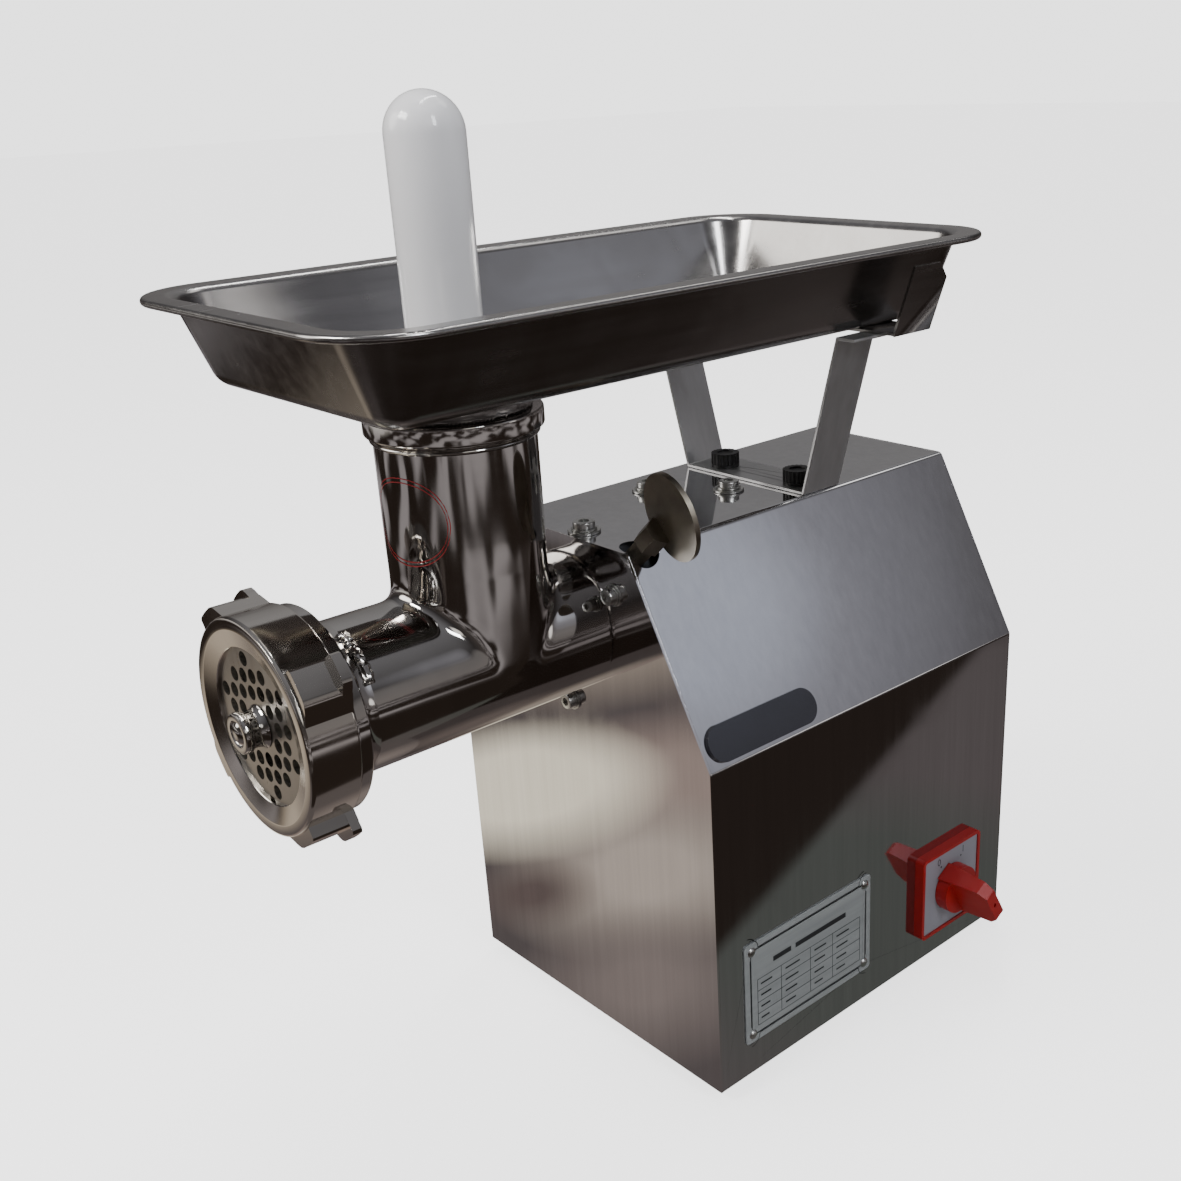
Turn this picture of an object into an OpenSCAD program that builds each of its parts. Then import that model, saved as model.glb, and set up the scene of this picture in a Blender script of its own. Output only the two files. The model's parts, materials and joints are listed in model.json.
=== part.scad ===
// Electric meat grinder: sheet housing with motor and gearbox, cast head, feed tray and stomper.
// The head points towards -Y. The origin is on the resting surface, under the housing's centre.

/* [Housing] */
// Width across the housing sides
body_w = 240; // [224:2:290]
// Length of the housing, front panel to rear panel
body_l = 282; // [262:2:340]
// Height of the housing above its base
body_h = 335; // [330:1:400]
// Height of the knee, where the sides start to lean in
knee_h = 219; // [180:1:240]
// Width of the flat top
top_w = 115.5; // [96:0.5:140]
// Thickness of the housing sheets
sheet_t = 1.5; // [1:0.1:2]
// Outside radius of the folds
bend_r = 4; // [3:0.5:10]
// Thickness of the base plate
base_t = 2; // [1.5:0.5:4]

/* [Feet] */
// Height of the rubber feet
foot_h = 10; // [8:1:20]
// Diameter of the rubber feet
foot_d = 30; // [22:1:40]
// Distance from the housing's edge to a foot's centre
foot_inset = 34; // [26:1:60]

/* [Head] */
// Height of the barrel's axis above the housing base
axis_h = 281.6; // [278:0.2:283]
// Outside radius of the barrel
barrel_r = 42.3; // [41.5:0.1:44]
// Radius of the bore that the auger turns in
bore_r = 36; // [34:0.5:38]
// Distance from the front panel to the neck's axis
neck_out = 65; // [58:1:85]
// Outside radius of the neck
neck_r = 43.75; // [43.5:0.25:46]
// Radius of the bore through the neck
throat_r = 37; // [34:0.5:38]
// Height of the neck's rim above the barrel's axis
neck_h = 139.4; // [120:0.2:170]
// Outside radius of the collar on the neck
collar_r = 48.2; // [46:0.1:54]
// Height of the collar
collar_h = 10; // [6:1:16]
// Radius of the blend between neck and barrel
blend_r = 18; // [8:1:22]
// Distance from the front panel to the back of the ring
head_reach = 175; // [160:1:220]
// Radius of the flange behind the ring
flange_r = 56.5; // [52:0.5:60]
// Radius of the spigot that plugs into the gearbox
spigot_r = 38.1; // [36:0.1:40]
// Length of the spigot
spigot_l = 39.5; // [30:0.5:45]

/* [Ring and plate] */
// Outside radius of the ring
ring_r = 59; // [57:0.5:66]
// Length of the ring
ring_l = 28.6; // [24:0.2:36]
// Outer radius of the ring's thread
thread_r = 48.5; // [47:0.5:52]
// Height of the ring's lugs
lug_h = 9; // [5:0.5:14]
// Angle that a lug takes up
lug_span = 22; // [14:1:40]
// Radius of the opening in the ring's front
ring_open_r = 42.5; // [40:0.5:44]
// Radius of the hole plate
plate_r = 45; // [43:0.5:46]
// Thickness of the hole plate
plate_t = 10; // [6:0.5:14]
// Diameter of the holes in the plate
plate_hole_d = 8; // [3:0.5:9]
// Distance between neighbouring holes
plate_pitch = 10.4; // [10:0.1:16]

/* [Auger] */
// Radius of the auger's core at the drive end
core_r = 17; // [14:0.5:22]
// Distance the flight advances in one turn
flight_pitch = 38; // [30:1:60]
// Radius of the auger's rear journal
journal_r = 16; // [14:0.5:18]
// Width across the square drive end
drive_w = 14.4; // [12:0.1:18]
// Number of blades on the knife
blades = 4; // [2:1:6]

/* [Tray] */
// Width of the tray over its rim
tray_w = 242; // [220:2:320]
// Length of the tray over its rim
tray_l = 450; // [400:5:600]
// Height of the tray's rim above its bottom
tray_deep = 49.5; // [35:0.5:80]
// Width of the flat rim
rim_w = 13; // [8:0.5:20]
// Outside radius of the tray's corners
tray_corner_r = 46; // [32:1:70]
// Angle that the tray's walls lean out
tray_lean = 20; // [8:1:24]
// Thickness of the tray sheet
tray_t = 1.2; // [0.8:0.1:2]
// Distance from the tray's front rim to the neck's axis
tray_front = 123; // [100:1:160]
// Gap between the neck's rim and the underside of the tray
tray_gap = 16; // [10:1:30]

/* [Stand] */
// Width of the bent strip
stand_w = 32.5; // [24:0.5:50]
// Thickness of the bent strip
stand_t = 2; // [1.5:0.1:3]
// Length of the strip's foot on the housing
stand_foot = 105.3; // [80:0.1:110]
// How far the stand sits to the switch side
stand_x = 4; // [-4:0.5:8]
// Distance from the housing's front to the strip
stand_back = 146; // [120:1:200]
// How far each leg leans out at the top
leg_lean = 28.5; // [10:0.5:32]
// Length of the tab at the top of each leg
leg_tab = 14; // [8:1:20]
// Width of the cradle under the tray
cradle_w = 33; // [26:1:50]
// Distance from the strip's front edge to the cradle
cradle_back = 21; // [14:1:24]
// Height of the cradle's side flanges
cradle_h = 43; // [20:1:44]

/* [Controls] */
// Side of the square switch plate
switch_w = 63; // [56:1:80]
// Depth of the switch plate's frame
switch_deep = 7; // [6:1:18]
// Height of the switch's centre above the housing base
switch_h = 52.5; // [48:0.5:120]
// Distance from the rear panel to the switch's centre
switch_in = 65; // [60:1:120]
// Diameter of the round part of the switch knob
knob_d = 34; // [30:1:40]
// Angle from the off mark to the on mark
knob_throw = 60; // [45:5:90]

/* [Plates and stand knobs] */
// Length of the data plate
plate_w = 116; // [80:1:130]
// Height of the data plate
plate_h = 72; // [50:1:90]
// Length of the badge
badge_w = 87; // [50:1:100]
// Height of the badge
badge_h = 22; // [12:1:30]
// Radius of the stand knobs
stand_knob_r = 9.2; // [8:0.1:12]
// Height of the stand knobs
stand_knob_h = 9.4; // [8:0.1:16]

/* [Stomper] */
// Radius of the stomper
stomper_r = 20.5; // [18:0.5:24]
// Length of the stomper
stomper_l = 261; // [200:1:300]

/* [Fits] */
// Radial clearance of a shaft in its bore
run_gap = 0.05; // [0.02:0.01:0.1]
// Radial clearance of a screw in its hole
screw_gap = 0.1; // [0.05:0.05:0.3]
// Clearance between curved faces that lift apart
lift_gap = 0.3; // [0.2:0.05:0.5]

/* [Hidden] */
$fn = 96;

// Heights and depths of the housing
front_y = -body_l / 2;
inner_front_y = front_y + sheet_t;
rear_y = body_l / 2;
base_z = foot_h;
top_z = base_z + body_h;
knee_z = base_z + knee_h;
under_top_z = top_z - sheet_t;
side_x = body_w / 2;
axis_z = base_z + axis_h;
slope_w = side_x - top_w / 2;
slope_h = body_h - knee_h;
slope_angle = atan2(slope_h, slope_w);

// Gearbox and gears
hub_r = 49;
seat_t = 14;
hub_end_y = inner_front_y + spigot_l;
wall_end_y = hub_end_y + seat_t;
gear_side_gap = 3;
slow_w = 18;
fast_w = 12;
slow_y = wall_end_y + gear_side_gap;
fast_y = slow_y + slow_w + gear_side_gap;
cover_y = fast_y + fast_w + gear_side_gap;
cover_t = 10;
motor_y = cover_y + cover_t;
slow_module = 2;
fast_module = 1.5;
pinion_teeth = 15;
slow_teeth = 42;
fast_teeth = 45;
slow_centre = slow_module * (pinion_teeth + slow_teeth) / 2;
fast_centre = fast_module * (pinion_teeth + fast_teeth) / 2;
lay_z = axis_z - slow_centre;
motor_z = lay_z - fast_centre;
case_wall = 4;
case_r1 = hub_r + 1.2;
case_r2 = fast_module * fast_teeth / 2 + 2 + case_wall;
case_r3 = 22;
shaft_r = 15;
shaft_tail_r = 10;
lay_r = 8;
motor_shaft_r = 7;
bearing_over = 15;
bearing_w = 10;

// Motor
can_r = 52;
can_t = 2;
can_l = 118;
stator_l = 70;
stator_r = can_r - can_t;
air_gap = 0.6;
rotor_r = 31;
fan_r = 44;
can_end_y = motor_y + can_l;

// Screws
bolt_r = 3;
top_bolt_r = 4;
front_bolt_circle = 52.5;
front_bolt_angles = [30, 150, 270];
top_bolts_at = [[8, front_y + 11], [12, front_y + 125], [-27, front_y + 91]];
hanger_end_y = top_bolts_at[1][1] + 12;

// Clamp screw, square to the barrel and through the fold
clamp_y = front_y + 13;
clamp_angle = atan2(top_z - axis_z, top_w / 2);
clamp_r = 6;
clamp_tip = spigot_r + run_gap + 0.4;
clamp_reach = 113;
clamp_disc_r = 25.5;
clamp_disc_t = 3;
clamp_disc_tilt = 14;
clamp_hex = [84, 99];
clamp_hex_r = 8.5;
clamp_hole_r = 11;
clamp_boss_end = 64;

// Head
neck_y = front_y - neck_out;
ring_back_y = front_y - head_reach;
ring_front_y = ring_back_y - ring_l;
plate_y = ring_front_y + 4.6;
plate_back_y = plate_y + plate_t;
mouth_y = plate_y + 2;
knife_t = 9;
knife_y = plate_back_y + 0.2;
knife_r = 41;
knife_room_y = knife_y + knife_t + 1.5;
bore_end_y = front_y - 10;
head_end_y = front_y + spigot_l;
neck_top_z = axis_z + neck_h;
spout_r = 40;
spout_drop = 24;
bush_r = journal_r + 4;
flare_h = 6.5;
flare_l = 15;
flange_back_y = ring_back_y + 7.6;

// Tray and stand
tray_z = neck_top_z + tray_gap;
rim_z = tray_z + tray_deep;
tray_y0 = neck_y - tray_front;
tray_y1 = tray_y0 + tray_l;
tray_cy = (tray_y0 + tray_y1) / 2;
tray_fillet = 15;
bead_r = 2;
stand_y0 = front_y + stand_back;
stand_y1 = stand_y0 + stand_w;
cradle_y0 = stand_y0 + cradle_back;
cradle_y1 = cradle_y0 + cradle_w;
cradle_t = 1.6;
cradle_z = tray_z - 0.2 - cradle_t;
cradle_half = tray_w / 2 - 12;
stand_knob_at = [for (s = [-1, 1]) [stand_x + 2.5 + s * 32.5, stand_y0 + 13.5]];
knob_stud_r = 3;

// Controls
switch_y = rear_y - switch_in;
switch_z = base_z + switch_h;
plate_cy = front_y + 79.7;
plate_cz = base_z + 59.2;
badge_rise = 3;
badge_cy = front_y + 48.5;
switch_rim = 2.5;
face_sink = 1;
face_t = 2;
face_z = switch_deep - face_sink;
rivet_at = [for (a = [-1, 1], b = [-1, 1])
    [plate_cy + a * (plate_w / 2 - 6), plate_cz + b * (plate_h / 2 - 6)]];
foot_at = [for (a = [-1, 1], b = [-1, 1])
    [a * (side_x - foot_inset), b * (body_l / 2 - foot_inset)]];
gland_x = -70;
gland_z = base_z + 45;
gland_r = 8;

// Auger ends, screws and stomper
stud_r = 9;
knife_sq = 16;
stud_end_y = front_y - 212.5;
washer_t = 1.6;
stomper_z = axis_z + bore_r + 0.5;
// Vent holes in the base plate, under the motor
base_vent_r = 5;
base_vents = [for (x = [-40 : 16 : 40], y = [30 : 20 : 90]) [x, y]];

// A flat outline stood upright and pulled from y0 to y1
module upright(y0, y1) {
    translate([0, y1, 0]) rotate([90, 0, 0]) linear_extrude(y1 - y0) children();
}

// A round bar along Y
module rod_y(r, y0, y1, x = 0, z = 0) {
    translate([x, y0, z]) rotate([-90, 0, 0]) cylinder(r = r, h = y1 - y0);
}

// A profile of radius and length, turned about a line along Y at height z
module turned_y(z = 0) {
    translate([0, 0, z]) rotate([-90, 0, 0]) rotate_extrude() children();
}

// A cylinder along the clamp screw's line, from radius a to radius b
module clamp_rod(r, a, b, sides = 96) {
    translate([0, clamp_y, axis_z]) rotate([0, 90 - clamp_angle, 0])
        translate([0, 0, a]) cylinder(r = r, h = b - a, $fn = sides);
}

// Corner number i of an outline that runs anticlockwise, as an arc of radius r
function fold(pts, i, r) = let(
    n = len(pts), p = pts[i], a = pts[(i + n - 1) % n] - p, b = pts[(i + 1) % n] - p,
    ua = a / norm(a), ub = b / norm(b), half = acos(ua * ub) / 2,
    c = p + (ua + ub) / norm(ua + ub) * r / sin(half),
    from = p + ua * r / tan(half) - c, start = atan2(from[1], from[0]))
    [for (k = [0 : 6]) let(t = start + (180 - 2 * half) * k / 6) c + r * [cos(t), sin(t)]];

// The housing's end outline, set in by a thickness, with its bottom edge a little low for cuts
module wrap_outline(inset, low = 0) {
    s = side_x - inset;
    kz = knee_z - inset * tan((90 - slope_angle) / 2);
    tx = top_w / 2 - inset * tan(slope_angle / 2);
    tz = top_z - inset;
    pts = [[-s, base_z - low], [s, base_z - low], [s, kz], [tx, tz], [-tx, tz], [-s, kz]];
    r = max(bend_r - inset, 0.5);
    polygon(concat([pts[0], pts[1]], [for (i = [2 : 5]) each fold(pts, i, r)]));
}

// The gearbox outline round its three shafts, set in by a thickness: arcs joined by tangents
module case_outline(inset) {
    rings = [[axis_z, case_r1 - inset], [lay_z, case_r2 - inset], [motor_z, case_r3 - inset]];
    lean = [90, -asin((case_r1 - case_r2) / slow_centre), -asin((case_r2 - case_r3) / fast_centre),
        -90];
    steps = [16, 3, 10];
    right = [for (i = [0 : 2]) each [for (k = [0 : steps[i]])
        let(a = lean[i] + (lean[i + 1] - lean[i]) * k / steps[i])
            [rings[i][1] * cos(a), rings[i][0] + rings[i][1] * sin(a)]]];
    last = len(right) - 1;
    polygon(concat(right, [for (i = [last - 1 : -1 : 1]) [-right[i][0], right[i][1]]]));
}

// A spur gear outline; gap_down turns it half a tooth so that a gap faces down
module gear_outline(m, teeth, gap_down) {
    pitch_r = m * teeth / 2;
    tip_r = pitch_r + 0.75 * m;
    root_r = pitch_r - 1.0 * m;
    half_w = 0.42 * PI * m / 2;
    function half_at(r) = asin((half_w - (r - pitch_r) * tan(20)) / r);
    start = gap_down ? -90 + 180 / teeth : 90;
    polygon([for (i = [0 : teeth - 1]) let(a = start + i * 360 / teeth)
        each [for (e = [[root_r, -1], [tip_r, -1], [tip_r, 1], [root_r, 1]])
            e[0] * [cos(a + e[1] * half_at(e[0])), sin(a + e[1] * half_at(e[0]))]]]);
}

module cover_wrap() {
    color("silver") difference() {
        upright(inner_front_y, rear_y - sheet_t) difference() {
            wrap_outline(0);
            wrap_outline(sheet_t, 1);
        }
        clamp_rod(clamp_hole_r, 60, 100);
        for (p = top_bolts_at)
            translate([p[0], p[1], top_z - 10]) cylinder(r = top_bolt_r + screw_gap, h = 20);
        for (p = stand_knob_at)
            translate([p[0], p[1], top_z - 10]) cylinder(r = knob_stud_r + screw_gap, h = 20);
        translate([side_x - 10, switch_y, switch_z]) rotate([0, 90, 0]) cylinder(r = 22, h = 20);
        for (p = rivet_at)
            translate([side_x - 10, p[0], p[1]]) rotate([0, 90, 0]) cylinder(r = 1.6, h = 20);
    }
}

module front_panel() {
    color("gainsboro") difference() {
        upright(front_y, inner_front_y) wrap_outline(0);
        rod_y(spigot_r + 0.4, front_y - 1, inner_front_y + 1, 0, axis_z);
        for (a = front_bolt_angles)
            rod_y(bolt_r + screw_gap, front_y - 1, inner_front_y + 1,
                front_bolt_circle * cos(a), axis_z + front_bolt_circle * sin(a));
    }
}

// Screw places round the edge of the rear panel
function screw_at() = [for (s = [-1, 1]) each [[s * (side_x - 9), base_z + 22],
    [s * (side_x - 9), knee_z - 25], [s * (top_w / 2 - 12), top_z - 12]]];

module rear_panel() {
    vent_w = 70;
    vent_h = 4;
    vent_pitch = 12;
    vent_rows = 9;
    color("silver") difference() {
        upright(rear_y - sheet_t, rear_y) wrap_outline(0);
        for (i = [0 : vent_rows - 1], s = [-1, 1])
            translate([s * 44 - vent_w / 2, rear_y - 5, motor_z - 60 + i * vent_pitch])
                cube([vent_w, 10, vent_h]);
        rod_y(gland_r + screw_gap, rear_y - 5, rear_y + 5, gland_x, gland_z);
        for (p = screw_at())
            rod_y(2 + screw_gap, rear_y - 5, rear_y + 5, p[0], p[1]);
    }
}

module panel_screws() {
    color("gray") for (p = screw_at()) {
        rod_y(2, rear_y - 7, rear_y, p[0], p[1]);
        difference() {
            rod_y(4, rear_y, rear_y + 2.2, p[0], p[1]);
            translate([p[0] - 5, rear_y + 1.2, p[1] - 0.5]) cube([10, 2, 1]);
            translate([p[0] - 0.5, rear_y + 1.2, p[1] - 5]) cube([1, 2, 10]);
        }
    }
}

module base_plate() {
    half_x = side_x - sheet_t;
    half_y = body_l / 2 - sheet_t;
    lip = 18;
    color("dimgray") difference() {
        union() {
            translate([-half_x, -half_y, base_z]) cube([2 * half_x, 2 * half_y, base_t]);
            for (s = [-1, 1])
                translate([s * (half_x - base_t / 2) - base_t / 2, -half_y, base_z])
                    cube([base_t, 2 * half_y, lip]);
        }
        for (p = foot_at) translate([p[0], p[1], 0]) cylinder(r = 2.5 + screw_gap, h = 40);
        for (p = base_vents)
            translate([p[0], p[1], base_z - 1]) cylinder(r = base_vent_r, h = base_t + 2);
        for (p = screw_at()) if (p[1] < base_z + lip)
            rod_y(3, rear_y - 20, rear_y, p[0], p[1]);
    }
}

module foot(i) {
    color("black") translate([foot_at[i][0], foot_at[i][1], 0]) difference() {
        cylinder(r1 = foot_d / 2 - 2.5, r2 = foot_d / 2, h = foot_h);
        translate([0, 0, -1]) cylinder(r = 6, h = 5);
        cylinder(r = 2.5 + screw_gap, h = foot_h + 1);
    }
}

module foot_screws() {
    color("gray") for (p = foot_at) translate([p[0], p[1], 0]) {
        difference() {
            translate([0, 0, 1.5]) cylinder(r = 4.5, h = 2.5);
            cylinder(r = 2.4, h = 3, $fn = 6);
        }
        translate([0, 0, 4]) cylinder(r = 2.5, h = foot_h + base_t + 4);
        translate([0, 0, base_z + base_t]) difference() {
            cylinder(r = 4.6, h = 4, $fn = 6);
            translate([0, 0, -1]) cylinder(r = 2.5, h = 6);
        }
    }
}

module gearbox_case() {
    lug_r = 8;
    color("slategray") difference() {
        union() {
            rod_y(hub_r, inner_front_y, hub_end_y + 1, 0, axis_z);
            for (a = front_bolt_angles)
                rod_y(lug_r, inner_front_y, inner_front_y + 22, front_bolt_circle * cos(a),
                    axis_z + front_bolt_circle * sin(a));
            upright(hub_end_y, cover_y) case_outline(0);
            intersection() {
                clamp_rod(14, hub_r - 8, clamp_boss_end);
                translate([0, inner_front_y, 0]) cube([side_x, 60, under_top_z - 0.5]);
            }
            for (p = [top_bolts_at[0], top_bolts_at[2]])
                translate([p[0], p[1], axis_z + 36]) cylinder(r = 7, h = under_top_z - axis_z - 36);
        }
        rod_y(spigot_r + run_gap, inner_front_y - 1, hub_end_y, 0, axis_z);
        upright(wall_end_y, cover_y + 1) case_outline(case_wall);
        rod_y(shaft_r + bearing_over, wall_end_y - bearing_w, wall_end_y + 1, 0, axis_z);
        rod_y(shaft_r + 7, hub_end_y - 1, wall_end_y, 0, axis_z);
        rod_y(lay_r + 9, wall_end_y - bearing_w, wall_end_y + 1, 0, lay_z);
        rod_y(motor_shaft_r + 7, wall_end_y - bearing_w, wall_end_y + 1, 0, motor_z);
        clamp_rod(clamp_r + run_gap, 20, 90);
        for (a = front_bolt_angles)
            rod_y(bolt_r + run_gap, inner_front_y - 1, inner_front_y + 16,
                front_bolt_circle * cos(a), axis_z + front_bolt_circle * sin(a));
        translate([top_bolts_at[0][0], top_bolts_at[0][1], axis_z + 41])
            cylinder(r = top_bolt_r + run_gap, h = 40);
        translate([top_bolts_at[2][0], top_bolts_at[2][1], axis_z + 44])
            cylinder(r = top_bolt_r + run_gap, h = 40);
    }
}

module gearbox_cover() {
    hanger_w = 20;
    color("slategray") difference() {
        union() {
            upright(cover_y, motor_y) case_outline(0);
            translate([top_bolts_at[1][0] - hanger_w / 2, cover_y + 1, axis_z + 32])
                cube([hanger_w, hanger_end_y - cover_y, under_top_z - axis_z - 32]);
        }
        rod_y(shaft_tail_r + 9, cover_y - 1, motor_y - 2, 0, axis_z);
        rod_y(lay_r + 9, cover_y - 1, motor_y - 2, 0, lay_z);
        rod_y(motor_shaft_r + 8, cover_y - 1, motor_y - 2, 0, motor_z);
        rod_y(motor_shaft_r + 3, cover_y - 1, motor_y + 1, 0, motor_z);
        translate([top_bolts_at[1][0], top_bolts_at[1][1], axis_z + 34])
            cylinder(r = top_bolt_r + run_gap, h = 40);
        translate([top_bolts_at[2][0] - 8, top_bolts_at[2][1] - 8, axis_z + 20])
            cube([16, 15.5, 40]);
    }
}

// A bearing between a shaft and a seat
module bearing(shaft, seat, y0, z) {
    ball_r = (seat - shaft) * 0.27;
    mid = (seat + shaft) / 2;
    difference() {
        rod_y(seat, y0, y0 + bearing_w, 0, z);
        rod_y(shaft + run_gap, y0 - 1, y0 + bearing_w + 1, 0, z);
        for (s = [[-1, 2], [bearing_w - 2, bearing_w + 1]]) difference() {
            rod_y(mid + ball_r, y0 + s[0], y0 + s[1], 0, z);
            rod_y(mid - ball_r, y0 + s[0] - 1, y0 + s[1] + 1, 0, z);
        }
    }
}

module bearings() {
    color("lightsteelblue") {
        bearing(shaft_r, shaft_r + bearing_over, wall_end_y - bearing_w, axis_z);
        bearing(lay_r, lay_r + 9, wall_end_y - bearing_w, lay_z);
        bearing(motor_shaft_r, motor_shaft_r + 7, wall_end_y - bearing_w, motor_z);
        difference() {
            rod_y(shaft_tail_r + 9, cover_y, motor_y - 2, 0, axis_z);
            rod_y(shaft_tail_r + run_gap, cover_y - 1, motor_y, 0, axis_z);
        }
        difference() {
            rod_y(lay_r + 9, cover_y, motor_y - 2, 0, lay_z);
            rod_y(lay_r + run_gap, cover_y - 1, motor_y, 0, lay_z);
        }
        difference() {
            rod_y(motor_shaft_r + 8, cover_y, motor_y - 2, 0, motor_z);
            rod_y(motor_shaft_r + run_gap, cover_y - 1, motor_y, 0, motor_z);
        }
    }
}

module oil_seal() {
    color("black") difference() {
        rod_y(shaft_r + 7, hub_end_y, wall_end_y - bearing_w, 0, axis_z);
        rod_y(shaft_r + run_gap, hub_end_y - 1, wall_end_y, 0, axis_z);
    }
}

// The square drive, a block along Y about the barrel's axis
module drive_square(w, y0, y1) {
    translate([-w / 2, y0, axis_z - w / 2]) cube([w, y1 - y0, w]);
}

module output_shaft() {
    color("silver") difference() {
        union() {
            rod_y(shaft_r, hub_end_y + 0.6, slow_y, 0, axis_z);
            rod_y(shaft_r - 2, slow_y, cover_y - 0.5, 0, axis_z);
            rod_y(shaft_tail_r, cover_y - 0.6, motor_y - 2.5, 0, axis_z);
        }
        drive_square(drive_w + 0.4, hub_end_y, hub_end_y + 22);
    }
}

module output_gear() {
    color("darkgoldenrod") difference() {
        upright(slow_y, slow_y + slow_w) translate([0, axis_z])
            gear_outline(slow_module, slow_teeth, true);
        rod_y(shaft_r - 2 + 0.02, slow_y - 1, slow_y + slow_w + 1, 0, axis_z);
        for (a = [0 : 60 : 300])
            rod_y(7, slow_y - 1, slow_y + slow_w + 1, 27 * cos(a), axis_z + 27 * sin(a));
    }
}

module layshaft() {
    color("silver") union() {
        rod_y(lay_r, wall_end_y - bearing_w + 0.5, motor_y - 2.5, 0, lay_z);
        upright(slow_y, slow_y + slow_w) translate([0, lay_z])
            gear_outline(slow_module, pinion_teeth, false);
    }
}

module lay_gear() {
    color("darkgoldenrod") difference() {
        upright(fast_y, fast_y + fast_w) translate([0, lay_z])
            gear_outline(fast_module, fast_teeth, true);
        rod_y(lay_r + 0.02, fast_y - 1, fast_y + fast_w + 1, 0, lay_z);
    }
}

module motor_shaft() {
    color("silver") union() {
        rod_y(motor_shaft_r, wall_end_y - bearing_w + 0.5, can_end_y + 20, 0, motor_z);
        upright(fast_y, fast_y + fast_w) translate([0, motor_z])
            gear_outline(fast_module, pinion_teeth, false);
    }
}

module rotor_core() {
    y0 = motor_y + 22;
    color("dimgray") difference() {
        union() {
            rod_y(rotor_r, y0, y0 + stator_l, 0, motor_z);
            rod_y(rotor_r - 5, y0 - 8, y0 + stator_l + 8, 0, motor_z);
        }
        rod_y(motor_shaft_r + 0.02, y0 - 10, y0 + stator_l + 10, 0, motor_z);
    }
}

module motor_fan() {
    y0 = can_end_y + 4;
    color("black") difference() {
        union() {
            rod_y(14, y0, y0 + 14, 0, motor_z);
            rod_y(fan_r, y0, y0 + 2, 0, motor_z);
            for (a = [10 : 45 : 325]) translate([0, y0, motor_z]) rotate([0, a, 0])
                translate([12, 1, -1]) cube([fan_r - 14, 11, 2]);
        }
        rod_y(motor_shaft_r + 0.02, y0 - 1, y0 + 15, 0, motor_z);
    }
}

module stator() {
    y0 = motor_y + 22;
    color("peru") difference() {
        union() {
            rod_y(stator_r - 0.05, y0, y0 + stator_l, 0, motor_z);
            rod_y(stator_r - 7, y0 - 14, y0 + stator_l + 14, 0, motor_z);
        }
        rod_y(rotor_r + air_gap, y0 - 20, y0 + stator_l + 20, 0, motor_z);
    }
}

module motor_can() {
    end_t = 4;
    color("gray") difference() {
        rod_y(can_r, motor_y, can_end_y, 0, motor_z);
        rod_y(stator_r, motor_y + end_t, can_end_y - end_t, 0, motor_z);
        rod_y(motor_shaft_r + 3, motor_y - 1, motor_y + 10, 0, motor_z);
        rod_y(motor_shaft_r + run_gap, can_end_y - 10, can_end_y + 1, 0, motor_z);
        for (a = [0 : 60 : 300])
            rod_y(6, can_end_y - 10, can_end_y + 1, 34 * cos(a), motor_z + 34 * sin(a));
    }
}

module motor_bracket() {
    arm_t = 3;
    arm_y = [motor_y + 12, can_end_y - 30];
    half = 46;
    color("dimgray") difference() {
        union() {
            for (y = arm_y)
                translate([-half, y, base_z + base_t])
                    cube([2 * half, arm_t, motor_z - 20 - base_z - base_t]);
            translate([-half, arm_y[0], base_z + base_t])
                cube([2 * half, arm_y[1] - arm_y[0] + arm_t, arm_t]);
        }
        rod_y(can_r + 0.02, motor_y - 1, can_end_y + 1, 0, motor_z);
        for (p = base_vents)
            translate([p[0], p[1], base_z]) cylinder(r = base_vent_r, h = 20);
    }
}

module capacitor() {
    color("whitesmoke") translate([-80, motor_y + 10, base_z + 30]) {
        rotate([-90, 0, 0]) cylinder(r = 18, h = 70);
        translate([-10, 10, -30 + base_t]) cube([20, 50, 14]);
    }
}

module terminal_block() {
    color("ivory") translate([60, motor_y + 12, base_z + base_t]) difference() {
        cube([24, 60, 20]);
        for (i = [0 : 4]) translate([12, 8 + i * 11, 12]) cylinder(r = 3, h = 20);
    }
}

module cable_gland() {
    color("black") difference() {
        union() {
            rod_y(gland_r, rear_y - 12, rear_y + 1, gland_x, gland_z);
            rod_y(gland_r + 4, rear_y, rear_y + 6, gland_x, gland_z);
            rod_y(gland_r + 2, rear_y + 5.9, rear_y + 18, gland_x, gland_z);
        }
        rod_y(4.5, rear_y - 20, rear_y + 20, gland_x, gland_z);
    }
}

module gland_nut() {
    color("black") difference() {
        translate([gland_x, rear_y - sheet_t - 6, gland_z]) rotate([-90, 0, 0])
            cylinder(r = gland_r + 4, h = 6, $fn = 6);
        rod_y(gland_r + run_gap, rear_y - 20, rear_y, gland_x, gland_z);
    }
}

// A shape drawn on the switch side: local X runs along +Y, local Y up, local Z outwards
module on_side(y, z) {
    translate([side_x, y, z]) rotate([90, 0, 90]) children();
}

// A square block with rounded corners, centred on the local Z axis
module rounded_block(w, h, t, r) {
    for (s = [[w, h - 2 * r], [w - 2 * r, h]])
        translate([-s[0] / 2, -s[1] / 2, 0]) cube([s[0], s[1], t]);
    for (a = [-1, 1], b = [-1, 1])
        translate([a * (w / 2 - r), b * (h / 2 - r), 0]) cylinder(r = r, h = t);
}

module switch_frame() {
    inner_w = switch_w - 2 * switch_rim;
    color("red") on_side(switch_y, switch_z) difference() {
        rounded_block(switch_w, switch_w, switch_deep, 4);
        translate([0, 0, face_z - face_t]) rounded_block(inner_w, inner_w, 10, 2);
        translate([0, 0, -1]) cylinder(r = 20, h = 20);
    }
}

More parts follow.
